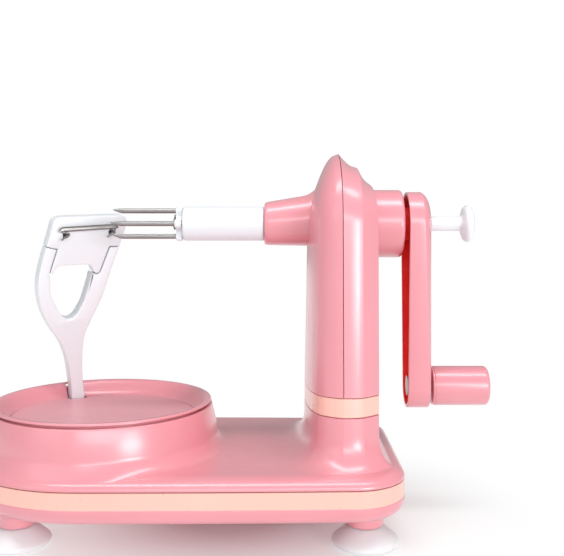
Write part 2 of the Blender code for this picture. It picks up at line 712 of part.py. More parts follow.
def gear_shape(teeth, module, low, high, bore, phase):
    """Spur gear with plain straight-sided teeth and some backlash; a tooth points along phase."""
    radius = module * teeth / 2
    tip = radius + 0.8 * module
    root = radius - 1.2 * module
    pitch = 2 * math.pi / teeth
    outline = []
    for i in range(teeth):
        middle = phase + i * pitch
        for share, r in ((-0.24, root), (-0.10, tip), (0.10, tip), (0.24, root)):
            a = middle + share * pitch
            outline.append((r * math.cos(a), r * math.sin(a)))
    shape = bmesh.new()
    rings = []
    for z in (low, high):
        rings.append([shape.verts.new((x, y, z)) for x, y in outline])
    count = len(outline)
    holes = []
    for z in (low, high):
        hole = []
        for i in range(count // 2):
            a = phase + (2 * i - 0.5) * 2 * math.pi / count
            hole.append(shape.verts.new((bore * math.cos(a), bore * math.sin(a), z)))
        holes.append(hole)
    half = count // 2
    for i in range(count):
        j = (i + 1) % count
        shape.faces.new((rings[0][i], rings[0][j], rings[1][j], rings[1][i]))
    for i in range(half):
        j = (i + 1) % half
        shape.faces.new((holes[0][i], holes[1][i], holes[1][j], holes[0][j]))
        for ring, hole in zip(rings, holes):
            first = 2 * i
            shape.faces.new((ring[first], ring[first + 1], hole[i]))
            shape.faces.new((ring[first + 1], ring[(first + 2) % count], hole[j], hole[i]))
    return shape


def meshed_phase(phase, teeth, direction, mate_teeth):
    """Phase of a mating gear whose gap takes this gear's tooth on the line of centres."""
    pitch = 2 * math.pi / teeth
    lead = ((direction - phase) / pitch) % 1.0
    mate_pitch = 2 * math.pi / mate_teeth
    return direction + math.pi + (lead + 0.5) * mate_pitch


def heading(start, end):
    return math.atan2(end[1] - start[1], end[0] - start[0])


def gear_phases():
    pinion = (SEAM_X, LAYSHAFT_Y)
    idler = idler_centre()
    to_idler = heading(pinion, idler)
    pinion_phase = to_idler
    idler_phase = meshed_phase(pinion_phase, PINION_TEETH, to_idler, IDLER_TEETH)
    table_phase = meshed_phase(idler_phase, IDLER_TEETH, heading(idler, (TABLE_X, 0)), TABLE_TEETH)
    return pinion_phase, idler_phase, table_phase


def turntable_gear(table):
    shape = gear_shape(TABLE_TEETH, GEAR_MODULE, GEAR_Z[0], GEAR_Z[1], POST_R + GAP, gear_phases()[2])
    gear = add_object("turntable_gear", shape, nylon(), parent=table)
    head_space = [(0, 24 * MM), (0, 34 * MM), (1.5 * MM, 34 * MM), (1.5 * MM, 28 * MM), (2.6 * MM, 28 * MM),
                  (2.6 * MM, 24 * MM)]
    cuts = [moved(turned(head_space, 12), (x, 0, 0)) for x in (-7.2 * MM, 7.2 * MM)]
    boolean(gear, merge(cuts), "DIFFERENCE")
    for i, x in enumerate((-7.2 * MM, 7.2 * MM)):
        profile = screw_profile(2.3 * MM, 1.5 * MM, 1.2 * MM, 17 * MM)
        add_object("turntable_screw_%d" % (i + 1), turned(profile, 8), steel(), (x, 0, 26.2 * MM), parent=table)


def upright_posts():
    """Fixed pins that the turntable gear and the idler turn on."""
    foot = BASE_BOTTOM_Z + WALL + GAP
    x, y = idler_centre()
    add_object("turntable_pivot_post", cylinder(POST_R, foot, 48 * MM), steel(), (TABLE_X, 0, 0))
    add_object("idler_post", cylinder(3.0 * MM, foot, GEAR_Z[1] + 1.5 * MM), steel(), (x, y, 0))


def idler_gear():
    x, y = idler_centre()
    shape = gear_shape(IDLER_TEETH, GEAR_MODULE, GEAR_Z[0], GEAR_Z[1], 3.0 * MM + GAP, gear_phases()[1])
    add_object("idler_gear", shape, nylon(), (x, y, 0))


def worm_gear_wheel(layshaft):
    """Wheel beside the worm: a gap of the wheel faces the ridge that the worm has at the same place."""
    low = SHAFT_Z - WHEEL_T / 2
    phase = math.radians(-90) + math.pi / WHEEL_TEETH
    shape = gear_shape(WHEEL_TEETH, WORM_MODULE, low, low + WHEEL_T, 3.0 * MM + GAP, phase)
    add_object("worm_wheel", shape, nylon(), parent=layshaft)


def layshaft_pieces():
    layshaft = pivot("layshaft_axis", (SEAM_X, LAYSHAFT_Y, 0))
    foot = BASE_BOTTOM_Z + WALL + GAP
    add_object("upright_shaft", cylinder(3.0 * MM, foot, 174 * MM), steel(), parent=layshaft)
    shape = gear_shape(PINION_TEETH, GEAR_MODULE, GEAR_Z[0], GEAR_Z[1], 3.0 * MM + GAP, gear_phases()[0])
    add_object("drive_pinion", shape, nylon(), parent=layshaft)
    worm_gear_wheel(layshaft)


# ---------------------------------------------------------------- spindle

def worm(spindle):
    """Single-start right-handed worm, whose ridge crosses the wheel's side at the middle of its length."""
    pitch = math.pi * WORM_MODULE
    turns = 4
    rows_per_pitch = 8
    around = 14
    root = WORM_R - 1.3 * WORM_MODULE * 0.8
    tip = WORM_R + 0.8 * WORM_MODULE
    half = pitch * turns / 2
    loops = []
    rows = turns * rows_per_pitch
    for row in range(rows + 1):
        x = -half + 2 * half * row / rows
        fade = smoothstep((half - abs(x)) / (0.5 * pitch))
        loop = []
        for i in range(around):
            a = 2 * math.pi * i / around
            offset = abs(((x / pitch - a / (2 * math.pi)) + 0.5) % 1.0 - 0.5)
            ridge = 1 - smoothstep((offset - 0.09) / 0.13)
            r = root + (tip - root) * ridge * fade
            loop.append((x, r * math.cos(a), r * math.sin(a)))
        loops.append(loop)
    bore = SHAFT_R + GAP
    for x in (half, -half):
        loops.append([(x, bore * math.cos(2 * math.pi * i / around), bore * math.sin(2 * math.pi * i / around))
                      for i in range(around)])
    add_object("worm", loft(loops, ring=True), nylon(), (SEAM_X, 0, 0), parent=spindle)


def drive_shaft(spindle):
    wide = 6.0 * MM
    shoulder = 90 * MM
    stem_bore = STEM_R + 0.4 * MM
    profile = [(SHAFT_BORE_R, -18 * MM), (SHAFT_BORE_R, 91.5 * MM), (stem_bore, 91.5 * MM), (stem_bore, 105.4 * MM),
               (wide, 105.4 * MM), (wide, shoulder), (SHAFT_R, shoulder), (SHAFT_R, -18 * MM)]
    add_object("drive_shaft", along_x(turned(profile, 24), 0, 0), steel(), parent=spindle)


def prong_places():
    return [(PRONG_CIRCLE_R * math.cos(a), PRONG_CIRCLE_R * math.sin(a))
            for a in (math.radians(90 * i) for i in range(4))]


def fork_sleeve(spindle):
    """White sleeve over the end of the shaft; its end wall carries the four prongs."""
    left = SLEEVE_LEFT_X
    right = NOSE_X - GAP
    bore = SHAFT_R + GAP
    profile = [(ROD_R + GAP, left), (ROD_R + GAP, -18.3 * MM), (bore, -18.3 * MM), (bore, right), (SLEEVE_R, right)]
    profile += [(r, x) for r, x in arc((SLEEVE_R - 1.4 * MM, left + 1.4 * MM), 1.4 * MM, 0, -90, 4)]
    sleeve = add_object("fork_sleeve", along_x(turned(profile, 24), 0, 0), white_plastic(), parent=spindle)
    holes = [along_x(cylinder(PRONG_R + GAP, left - MM, -14 * MM, 8), y, z) for y, z in prong_places()]
    boolean(sleeve, merge(holes), "DIFFERENCE")


def fork_prongs(spindle):
    neck = PRONG_TIP_X + PRONG_POINT
    profile = [(0, PRONG_TIP_X), (0, -14.5 * MM), (PRONG_R, -14.5 * MM), (PRONG_R, neck),
               (PRONG_R * 0.72, neck - 0.6 * PRONG_POINT), (PRONG_R * 0.15, PRONG_TIP_X)]
    for name, (y, z) in zip(("rear", "top", "front", "bottom"), prong_places()):
        add_object("fork_prong_" + name, along_x(turned(profile, 10), 0, 0), steel(), (0, y, z), parent=spindle)


def crank_loop(x, hub_inset, grip_inset):
    """Outline of the crank arm: two round ends joined by straight sides, hanging down from the hub."""
    big = CRANK_HUB_END_R - hub_inset
    small = CRANK_GRIP_END_R - grip_inset
    lean = math.degrees(math.asin((big - small) / CRANK_R))
    top = arc((0, 0), big, -lean, 180 + lean, 11)
    bottom = arc((0, -CRANK_R), small, 180 + lean, 360 - lean, 8)
    return [(x, y, z) for y, z in top + bottom]


def crank_arm(spindle):
    """Hollow crank, open towards the column, with a hub tube and a boss for the handle pin."""
    outer = [(96.0, 0, 0), (102.0, 0, 0), (105.0, 1.0, 0.5), (107.2, 3.2, 1.3), (108.1, 6.0, 2.1), (108.4, 8.6, 3.2)]
    crank = add_object("crank_arm", loft([crank_loop(x * MM, a * MM, b * MM) for x, a, b in outer]),
                       pink_gloss(), parent=spindle)
    hollow = [(95.0, 2.2, 2.2), (102.0, 2.4, 2.3), (104.6, 4.0, 3.0), (105.9, 7.5, 4.2)]
    boolean(crank, loft([crank_loop(x * MM, a * MM, b * MM) for x, a, b in hollow]), "DIFFERENCE")
    hub = along_x(tube(6.3 * MM, 9.0 * MM, 96.6 * MM, 106.5 * MM, 18), 0, 0)
    boss = along_x(cylinder(6.5 * MM, 98.4 * MM, 106.5 * MM, 14), 0, -CRANK_R)
    boolean(crank, merge([hub, boss]), "UNION")
    cuts = [along_x(cylinder(STEM_R + 0.4 * MM, 104 * MM, 110 * MM, 16), 0, 0),
            along_x(cylinder(HANDLE_PIN_R + GAP, 95 * MM, 110 * MM, 12), 0, -CRANK_R)]
    boolean(crank, merge(cuts), "DIFFERENCE")


def handle_pin(spindle):
    profile = [(0, 96.6 * MM), (0, 136.6 * MM), (HANDLE_PIN_R, 136.6 * MM), (HANDLE_PIN_R, 98.1 * MM),
               (5.4 * MM, 98.1 * MM), (5.4 * MM, 96.6 * MM)]
    add_object("handle_pin", along_x(turned(profile, 16), 0, 0), steel(), (0, 0, -CRANK_R), parent=spindle)


def handle_grip(spindle):
    grip_axis = pivot("grip_axis", (0, 0, -CRANK_R), parent=spindle)
    low, high = GRIP_X
    edge = GRIP_EDGE_R
    profile = [(HANDLE_PIN_R + GAP, low), (HANDLE_PIN_R + GAP, high - 3.5 * MM), (0, high - 3.5 * MM), (0, high)]
    profile += [(r, x) for r, x in arc((GRIP_R - edge, high - edge), edge, 90, 0, 4)]
    profile += [(GRIP_R, low + 0.8 * MM), (GRIP_R - 0.8 * MM, low)]
    add_object("handle_grip", along_x(turned(profile, 24), 0, 0), pink_gloss(), parent=grip_axis)


# ---------------------------------------------------------------- ejector

def ejector(spindle):
    """Push rod through the hollow shaft, with a knob outside and a plate round the prongs."""
    slide = pivot("ejector_slide", (0, 0, 0), parent=spindle)
    stem_start, stem_end = STEM_X
    knob_end = stem_end + KNOB_T
    profile = [(0, -31.9 * MM), (0, knob_end), (KNOB_R - 3.0 * MM, knob_end - 0.2 * MM),
               (KNOB_R - 0.9 * MM, knob_end - 1.3 * MM), (KNOB_R, knob_end - 2.9 * MM),
               (KNOB_R - 0.6 * MM, stem_end + 1.3 * MM), (KNOB_R - 2.6 * MM, stem_end + 0.4 * MM),
               (STEM_R, stem_end), (STEM_R, stem_start), (ROD_R, stem_start), (ROD_R, -31.9 * MM)]
    add_object("ejector_rod", along_x(turned(profile, 24), 0, 0), white_plastic(), parent=slide)
    low, high = EJECTOR_PLATE_X
    plate = add_object("ejector_plate", along_x(tube(ROD_R + GAP, 5.0 * MM, low, high, 16), 0, 0),
                       white_plastic(), parent=slide)
    ears = [along_x(cylinder(2.6 * MM, low, high, 10), y, z) for y, z in prong_places()]
    boolean(plate, merge(ears), "UNION")
    holes = [along_x(cylinder(PRONG_R + GAP, low - MM, high + MM, 8), y, z) for y, z in prong_places()]
    boolean(plate, merge(holes), "DIFFERENCE")
    clip = along_x(tube(ROD_R + GAP, 3.8 * MM, -31.4 * MM, -30.4 * MM, 16), 0, 0)
    add_object("ejector_clip", clip, steel(), parent=slide)


# ---------------------------------------------------------------- peeler arm

ARM_OUTER_SIDE = [(-4.4, -4.0), (-4.9, 10.0), (-6.6, 22.5), (-9.2, 34.5), (-13.2, 43.7), (-19.2, 52.3),
                  (-23.9, 61.6), (-26.6, 71.1), (-27.2, 79.5), (-25.9, 89.6), (-23.4, 100.3)]
ARM_FORK_MOUTH = [(-17.3, 98.9), (-21.2, 84.5), (-20.4, 81.5), (-19.8, 73.5), (-16.4, 65.3), (-12.4, 59.5),
                  (-8.4, 57.7), (-4.8, 59.7), (-2.2, 64.0), (-0.1, 68.7), (2.4, 78.2), (4.2, 84.9),
                  (6.0, 84.1), (8.6, 85.1), (13.9, 100.1)]
ARM_INNER_SIDE = [(19.6, 100.2), (15.2, 86.5), (11.4, 72.5), (7.7, 63.5), (3.7, 54.6), (1.1, 47.1),
                  (0.3, 37.3), (0.9, 23.5), (2.7, 10.1), (3.2, -4.0)]
HOLDER_OUTLINE = [(-23.2, 100.8), (-21.8, 106.5), (-20.2, 113.7), (-18.8, 116.1), (-16.2, 117.4),
                  (2.0, 118.3), (20.6, 118.9), (22.6, 117.9), (23.3, 115.9), (21.6, 107.9), (19.7, 100.8),
                  (13.4, 100.7), (8.2, 85.7), (6.2, 84.8), (4.6, 86.3), (2.3, 89.7), (-14.6, 89.4),
                  (-17.6, 87.7), (-19.2, 84.5), (-20.7, 84.7), (-16.8, 99.4)]
BLADE_AXIS = Vector((0.6, -3.1, 108.2))        # middle of the blade's swivel axis, in the arm's frame (mm)
BLADE_TILT = math.radians(3.5)
BLADE_PIVOT_REACH = 13.5
BLADE_HALF_LENGTH = 18.0


def plate_from_outline(outline, half_t):
    """Upright plate: the outline is (across, up) in millimetres, the thickness runs along Y."""
    loops = [[(s * MM, y * MM, h * MM) for s, h in outline] for y in (-half_t, half_t)]
    return loft(loops)


def peeler_arm(arm_axis):
    half_t = ARM_T / MM / 2
    outline = ARM_OUTER_SIDE + ARM_FORK_MOUTH + ARM_INNER_SIDE
    lean = (ARM_LEAN, 0, 0)
    arm = add_object("peeler_arm", plate_from_outline(outline, half_t), white_plastic(), rotation=lean,
                     parent=arm_axis)
    pin_hole = cylinder(ARM_PIN_R + GAP, -12 * MM, 12 * MM, 16)
    bmesh.ops.transform(pin_hole, matrix=Matrix.Rotation(math.radians(90), 4, "Y"), verts=pin_hole.verts)
    boolean(arm, pin_hole, "DIFFERENCE")

    holder = add_object("blade_holder", plate_from_outline(HOLDER_OUTLINE, half_t), white_plastic(), rotation=lean,
                        parent=arm_axis)
    slots = []
    for side in (-1, 1):
        x = side * BLADE_PIVOT_REACH
        slot = box(((x - 1.6) * MM, -8 * MM, -2.0 * MM), ((x + 1.6) * MM, 5.4 * MM, 2.0 * MM))
        slots.append(blade_placed(slot))
    boolean(holder, merge(slots), "DIFFERENCE", rotation=lean)


def blade_placed(shape):
    """Move a shape from the blade's swivel frame to the arm's plate frame."""
    turn = Matrix.Rotation(-BLADE_TILT, 4, "Y")
    bmesh.ops.transform(shape, matrix=turn, verts=shape.verts)
    return moved(shape, BLADE_AXIS * MM)


def peeler_blade(arm_axis):
    """Bent strip: a cutting edge in front of the holder and a leg into the holder at each end."""
    lean = pivot("arm_lean", (0, 0, 0), (ARM_LEAN, 0, 0), arm_axis)
    swivel = pivot("blade_axis", BLADE_AXIS * MM, (0, -BLADE_TILT, 0), lean)
    half = BLADE_HALF_LENGTH * MM
    strip_loops = []
    for x in (-half, half):
        strip_loops.append([(x, y * MM, z * MM) for y, z in ((-5.2, 2.4), (-4.1, 2.4), (-4.1, 5.4), (-4.6, 5.4))])
    blade = add_object("peeler_blade", loft(strip_loops), steel(), parent=swivel)
    leg_outline = [(-4.9, 3.2), (-4.3, 3.2), (-3.4, 0.8), (0.8, 0.8), (0.8, -0.8), (-4.9, -0.8)]
    legs = []
    for side in (-1, 1):
        x = side * BLADE_PIVOT_REACH
        legs.append(loft([[(p * MM, y * MM, z * MM) for y, z in leg_outline] for p in (x - 0.6, x + 0.6)]))
    boolean(blade, merge(legs), "UNION")


def arm_pin_and_spring(arm_mount):
    pin = cylinder(ARM_PIN_R, -15.0 * MM, 9.0 * MM, 16)
    spring = tube(ARM_PIN_R + GAP, 2.8 * MM, -14.4 * MM, -10.6 * MM, 20)
    across = (0, math.radians(90), 0)
    add_object("arm_pin", pin, steel(), rotation=across, parent=arm_mount)
    add_object("arm_spring", spring, steel(), rotation=across, parent=arm_mount)


def main():
    clear_scene()
    base_upper_shell()
    base_accent_band()
    base_lower_cover()
    suction_cups()
    base_screws()
    column_front_shell()
    column_rear_shell()
    column_accent_band()
    column_screws()
    shaft_bushes()
    gear_bracket()
    upright_posts()
    idler_gear()
    layshaft_pieces()

    table = pivot("turntable_axis", (TABLE_X, 0, 0))
    turntable_ring(table)
    turntable_disc(table)
    turntable_gear(table)
    place, turn = arm_frame()
    arm_axis = pivot("arm_axis", place - Vector((TABLE_X, 0, 0)), (0, 0, turn), table)
    arm_pin_and_spring(arm_axis)
    peeler_arm(arm_axis)
    peeler_blade(arm_axis)

    spindle = pivot("spindle_axis", (0, 0, SHAFT_Z))
    drive_shaft(spindle)
    fork_sleeve(spindle)
    fork_prongs(spindle)
    worm(spindle)
    crank_arm(spindle)
    handle_pin(spindle)
    handle_grip(spindle)
    ejector(spindle)


main()
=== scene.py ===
import math

import bmesh
import bpy
from mathutils import Matrix, Vector


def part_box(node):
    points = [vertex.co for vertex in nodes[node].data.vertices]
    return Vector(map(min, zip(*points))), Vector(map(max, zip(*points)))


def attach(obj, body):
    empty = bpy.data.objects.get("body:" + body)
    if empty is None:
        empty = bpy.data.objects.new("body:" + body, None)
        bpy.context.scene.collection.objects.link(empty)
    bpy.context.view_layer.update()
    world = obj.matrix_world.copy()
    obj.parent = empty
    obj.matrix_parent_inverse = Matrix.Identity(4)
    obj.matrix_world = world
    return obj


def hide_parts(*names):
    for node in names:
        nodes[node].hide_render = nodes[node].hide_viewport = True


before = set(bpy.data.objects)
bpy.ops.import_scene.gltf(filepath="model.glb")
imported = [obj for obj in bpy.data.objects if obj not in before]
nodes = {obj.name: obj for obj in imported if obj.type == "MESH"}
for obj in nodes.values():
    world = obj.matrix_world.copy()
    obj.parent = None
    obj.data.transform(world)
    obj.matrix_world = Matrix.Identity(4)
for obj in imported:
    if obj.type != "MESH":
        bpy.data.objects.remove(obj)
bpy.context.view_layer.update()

mm = 0.001


# ---------------------------------------------------------------- pink mouldings
# The casings, crank and turntable are one glossy pink ABS with a faint pearl in it. The colour drifts
# a little in the moulding, and the polished skin has a fine waviness and a few handling scuffs.

def new_material(name):
    """Material with its node tree and its main shader."""
    mat = bpy.data.materials.new(name)
    mat.use_nodes = True
    return mat, mat.node_tree, mat.node_tree.nodes["Principled BSDF"]


def noise(tree, where, scale, detail):
    """Noise over the given coordinates; returns its factor."""
    node = tree.nodes.new("ShaderNodeTexNoise")
    node.inputs["Scale"].default_value = scale
    node.inputs["Detail"].default_value = detail
    tree.links.new(where, node.inputs["Vector"])
    return node.outputs["Fac"]


def drive_colour(tree, shader, factor, colour, drift):
    tint = tree.nodes.new("ShaderNodeMix")
    tint.data_type = "RGBA"
    tint.inputs["A"].default_value = (*colour, 1)
    tint.inputs["B"].default_value = (*drift, 1)
    tree.links.new(factor, tint.inputs["Factor"])
    tree.links.new(tint.outputs["Result"], shader.inputs["Base Color"])


def drive_gloss(tree, shader, factor, low, high, from_low=0.0, from_high=1.0):
    gloss = tree.nodes.new("ShaderNodeMapRange")
    gloss.inputs["From Min"].default_value = from_low
    gloss.inputs["From Max"].default_value = from_high
    gloss.inputs["To Min"].default_value = low
    gloss.inputs["To Max"].default_value = high
    tree.links.new(factor, gloss.inputs["Value"])
    tree.links.new(gloss.outputs["Result"], shader.inputs["Roughness"])


def drive_bump(tree, shader, height, strength, distance):
    bump = tree.nodes.new("ShaderNodeBump")
    bump.inputs["Strength"].default_value = strength
    bump.inputs["Distance"].default_value = distance
    tree.links.new(height, bump.inputs["Height"])
    tree.links.new(bump.outputs["Normal"], shader.inputs["Normal"])


def plastic(name, colour, drift, roughness, coat=0.0, wave=0.03):
    """Moulded plastic: base colour that drifts, a gloss that varies with handling, a fine moulded skin."""
    mat, tree, shader = new_material(name)
    shader.inputs["Coat Weight"].default_value = coat
    shader.inputs["Coat Roughness"].default_value = 0.24
    shader.inputs["IOR"].default_value = 1.48
    where = tree.nodes.new("ShaderNodeTexCoord").outputs["Object"]
    drive_colour(tree, shader, noise(tree, where, 22.0, 3.0), colour, drift)
    scuffs = noise(tree, where, 140.0, 3.0)
    drive_gloss(tree, shader, scuffs, roughness * 0.88, roughness * 1.15, 0.3, 0.75)
    drive_bump(tree, shader, noise(tree, where, 500.0, 2.0), wave, 0.0002)
    return mat


pink_gloss = plastic("pink_gloss", (0.75, 0.295, 0.34), (0.71, 0.255, 0.30), 0.36, coat=1.0, wave=0.02)


def add_object(name, data):
    obj = bpy.data.objects.new(name, data)
    bpy.context.scene.collection.objects.link(obj)
    return obj


def smooth(mesh, angle=32):
    mesh.shade_smooth()
    mesh.set_sharp_from_angle(angle=math.radians(angle))


def piece(name, shape, body, mats, stands_for=(), angle=32):
    """Finish a bmesh as a named piece that rides a body and stands for CAD nodes."""
    bmesh.ops.remove_doubles(shape, verts=shape.verts, dist=1e-7)
    bmesh.ops.recalc_face_normals(shape, faces=shape.faces)
    mesh = bpy.data.meshes.new(name)
    shape.to_mesh(mesh)
    shape.free()
    for mat in mats:
        mesh.materials.append(mat)
    smooth(mesh, angle)
    obj = add_object(name, mesh)
    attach(obj, body)
    if stands_for:
        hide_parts(*stands_for)
    return obj


def full_turn(count):
    """Angles once round, in radians."""
    return [2 * math.pi * i / count for i in range(count)]


def from_point(origin, points):
    """Points given in millimetres from an origin in metres."""
    return [tuple(start + value * mm for start, value in zip(origin, point)) for point in points]


def skin_between(shape, rows, ring=False, caps=False):
    """Quads between closed rows of points that have the same count, with optional end caps."""
    made = [[shape.verts.new(p) for p in row] for row in rows]
    count = len(made[0])
    pairs = list(zip(made, made[1:]))
    if ring:
        pairs.append((made[-1], made[0]))
    for low, high in pairs:
        for i in range(count):
            j = (i + 1) % count
            shape.faces.new((low[i], low[j], high[j], high[i]))
    if caps:
        shape.faces.new(made[0][::-1])
        shape.faces.new(made[-1])
    return made


def turn(shape, outline, steps, centre=(0, 0, 0), along="Z"):
    """Turn a (radius, height) outline about an axis through centre; heights are absolute along it."""
    rows = []
    for a in full_turn(steps):
        if along == "Z":
            rows.append([(centre[0] + r * math.cos(a), centre[1] + r * math.sin(a), h) for r, h in outline])
        else:
            rows.append([(h, centre[1] + r * math.cos(a), centre[2] + r * math.sin(a)) for r, h in outline])
    skin_between(shape, rows, ring=True)


def corner(centre, radius, start, end, count):
    """Points round a corner, angles in degrees."""
    angles = [math.radians(start + (end - start) * i / count) for i in range(count + 1)]
    return [(centre[0] + radius * math.cos(a), centre[1] + radius * math.sin(a)) for a in angles]


def hollow_curve(start, knee, end, f):
    """Point a share f along a curve that leaves the start towards the knee and arrives at the end."""
    return tuple((1 - f) ** 2 * a + 2 * f * (1 - f) * b + f * f * c for a, b, c in zip(start, knee, end))


def cut_out(target, rows):
    """Cut the closed shape between rows of points out of a finished piece, with the Boolean applied."""
    shape = bmesh.new()
    skin_between(shape, rows, caps=True)
    bmesh.ops.recalc_face_normals(shape, faces=shape.faces)
    cutter_mesh = bpy.data.meshes.new("cutter")
    shape.to_mesh(cutter_mesh)
    shape.free()
    cutter = add_object("cutter", cutter_mesh)
    modifier = target.modifiers.new("cut", "BOOLEAN")
    modifier.operation = "DIFFERENCE"
    modifier.object = cutter
    modifier.solver = "EXACT"
    bpy.context.view_layer.update()
    evaluated = target.evaluated_get(bpy.context.evaluated_depsgraph_get())
    mesh = bpy.data.meshes.new_from_object(evaluated)
    old = target.data
    target.modifiers.clear()
    target.data = mesh
    bpy.data.meshes.remove(old)
    bpy.data.objects.remove(cutter)
    bpy.data.meshes.remove(cutter_mesh)
    smooth(target.data)


def drill(target, centre, radius, low, high, along="X", steps=48):
    """Round hole between two heights along X or Z; the centre is given on the other two axes."""
    points = corner(centre, radius, 0, 360 - 360 / steps, steps - 1)
    if along == "X":
        cut_out(target, [[(h, a, b) for a, b in points] for h in (low, high)])
    else:
        cut_out(target, [[(a, b, h) for a, b in points] for h in (low, high)])


# ---------------------------------------------------------------- base, upper shell
# One moulding: a low base with a round left end, a round pedestal that runs into it in a hollow curve,
# and the flared foot of the column. It sits on the peach band and is screwed from below.

base_low, base_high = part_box("base_lower_cover")
ring_low, ring_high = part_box("turntable_ring")
table_x = (ring_low.x + ring_high.x) / 2
table_r = (ring_high.x - ring_low.x) / 2
base_left_r = table_x - base_low.x
base_half_w = base_high.y
base_end_half_w = base_half_w - 2.2 * mm
base_corner_r = 27.5 * mm
base_top_z = 38.1 * mm
band_low, band_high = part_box("base_accent_band")
upper_low_z = band_high.z + 0.35 * mm
base_corner_x = base_high.x - base_corner_r
base_corner_y = base_end_half_w - base_corner_r
edge_in = 9.5 * mm
edge_h = 5.0 * mm


def side_half_width(x):
    """Half the base's width along its straight part, which draws in towards the right."""
    f = min(1.0, (x - table_x) / (base_corner_x - table_x))
    return base_half_w + (base_end_half_w - base_half_w) * f * f


def base_plan(inset, end_steps=96, side_steps=14, corner_steps=22):
    """Plan of the base at an inset: half ellipse, gently drawn-in sides, two round corners."""
    points = []
    for i in range(end_steps + 1):
        a = math.radians(90 + 180 * i / end_steps)
        points.append((table_x + (base_left_r - inset) * math.cos(a), (base_half_w - inset) * math.sin(a)))
    near = []
    for i in range(1, side_steps):
        x = table_x + (base_corner_x - table_x) * i / side_steps
        near.append((x, inset - side_half_width(x)))
    near += corner((base_corner_x, -base_corner_y), base_corner_r - inset, -90, 0, corner_steps)
    return points + near + [(x, -y) for x, y in reversed(near)]


def base_rows(stations):
    """The base's outline at each (height, inset)."""
    return [[(x, y, z) for x, y in base_plan(inset)] for z, inset in stations]


def base_surface_z(inset):
    """Height of the base's top at a distance in from its widest outline."""
    if inset >= edge_in:
        return base_top_z
    side = 1 - max(inset, 0.0) / edge_in
    return base_top_z - edge_h + edge_h * math.sqrt(max(0.0, 1 - side * side))


def inset_of(x, y):
    """How far a point lies in from the base's outline."""
    if x < table_x:
        distance = math.hypot(x - table_x, y)
        ux = (x - table_x) / distance
        uy = y / distance
        edge = 1 / math.sqrt((ux / base_left_r) ** 2 + (uy / base_half_w) ** 2)
        return edge - distance
    if x > base_corner_x and abs(y) > base_corner_y:
        return base_corner_r - math.hypot(x - base_corner_x, abs(y) - base_corner_y)
    return min(side_half_width(x) - abs(y), base_high.x - x)


shell = bmesh.new()
stations = [(upper_low_z + 0.6 * mm, 2.6 * mm), (upper_low_z + 0.2 * mm, 0.5 * mm),
            (upper_low_z + 0.05 * mm, 0.25 * mm), (upper_low_z + 0.3 * mm, 0.0)]
for i in range(13):
    a = math.radians(90 * i / 12)
    stations.append((base_top_z - edge_h + edge_h * math.sin(a), edge_in * (1 - math.cos(a))))
stations += [(base_top_z - 2.2 * mm, 10.5 * mm), (base_top_z - 5.0 * mm, 2.6 * mm)]
made = skin_between(shell, base_rows(stations), ring=True)
# The flat top is one face inside the last edge row, and its underside one more.
top_row, under_row = made[-3], made[-2]
for face in [f for f in shell.faces if set(f.verts) & set(top_row) and set(f.verts) & set(under_row)]:
    shell.faces.remove(face)
shell.faces.new(top_row)
shell.faces.new(under_row[::-1])
base_body = piece("base_upper_shell_body", shell, "base", [pink_gloss], ["base_upper_shell"])
drill(base_body, (table_x, 0), 11 * mm, 30 * mm, 45 * mm, "Z")

# Pedestal: a slightly tapering wall with a rounded lip, and a hollow curve out on to the base.
pedestal = bmesh.new()
well_r = table_r - 2.2 * mm
wall_top_z = 59.95 * mm
wall_start = (table_r + 0.72 * mm, wall_top_z - 1.2 * mm)
wall_mid = (table_r + 3.5 * mm, 44.5 * mm)
wall_crown = 0.35 * mm
cove_reach = 6.6 * mm
rows = []
for a in full_turn(180):
    ux, uy = math.cos(a), math.sin(a)
    reach = wall_mid[0] + cove_reach
    while inset_of(table_x + reach * ux, reach * uy) <= 0.5 * mm:
        reach -= 0.1 * mm
    knee_r = wall_mid[0] + 0.6 * mm + 0.35 * (reach - wall_mid[0])
    knee, end = [(r, base_surface_z(inset_of(table_x + r * ux, r * uy))) for r in (knee_r, reach)]
    outline = [(well_r, base_top_z - 1.0 * mm), (well_r, wall_top_z - 0.8 * mm)]
    outline += corner((well_r + 0.6 * mm, wall_top_z - 0.6 * mm), 0.6 * mm, 180, 90, 4)
    outline += corner((table_r - 0.25 * mm, wall_top_z - 0.9 * mm), 0.9 * mm, 90, 12, 5)
    for k in range(1, 9):
        f = k / 9
        crown = wall_crown * math.sin(math.pi * f)
        outline.append((wall_start[0] + (wall_mid[0] - wall_start[0]) * f + crown,
                        wall_start[1] + (wall_mid[1] - wall_start[1]) * f))
    outline += [hollow_curve(wall_mid, knee, end, k / 14) for k in range(15)]
    outline.append((end[0] + 0.05 * mm, end[1] - 1.2 * mm))
    rows.append([(table_x + r * ux, r * uy, z) for r, z in outline])
skin_between(pedestal, rows, ring=True)
piece("base_pedestal", pedestal, "base", [pink_gloss], ["base_upper_shell"], angle=50)


# ---------------------------------------------------------------- column, plan and side sections
# The column is two half shells that meet in an upright plane. Each surface runs from the seam to the
# middle of its face; the sections are different on the sides and over the round top.

seam_x = (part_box("column_front_shell")[1].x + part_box("column_rear_shell")[0].x) / 2
shaft_z = (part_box("fork_sleeve")[0].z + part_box("fork_sleeve")[1].z) / 2
column_top_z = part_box("column_front_shell")[1].z
arch_rise = column_top_z - shaft_z
column_half_w = 49.0 * mm
shaft_half_w = 45.0 * mm
column_wall = 2.4 * mm
column_band_low, column_band_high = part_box("column_accent_band")
front_foot_depth = 18.4 * mm
front_shaft_depth = 16.2 * mm
rear_depth = 18.6 * mm
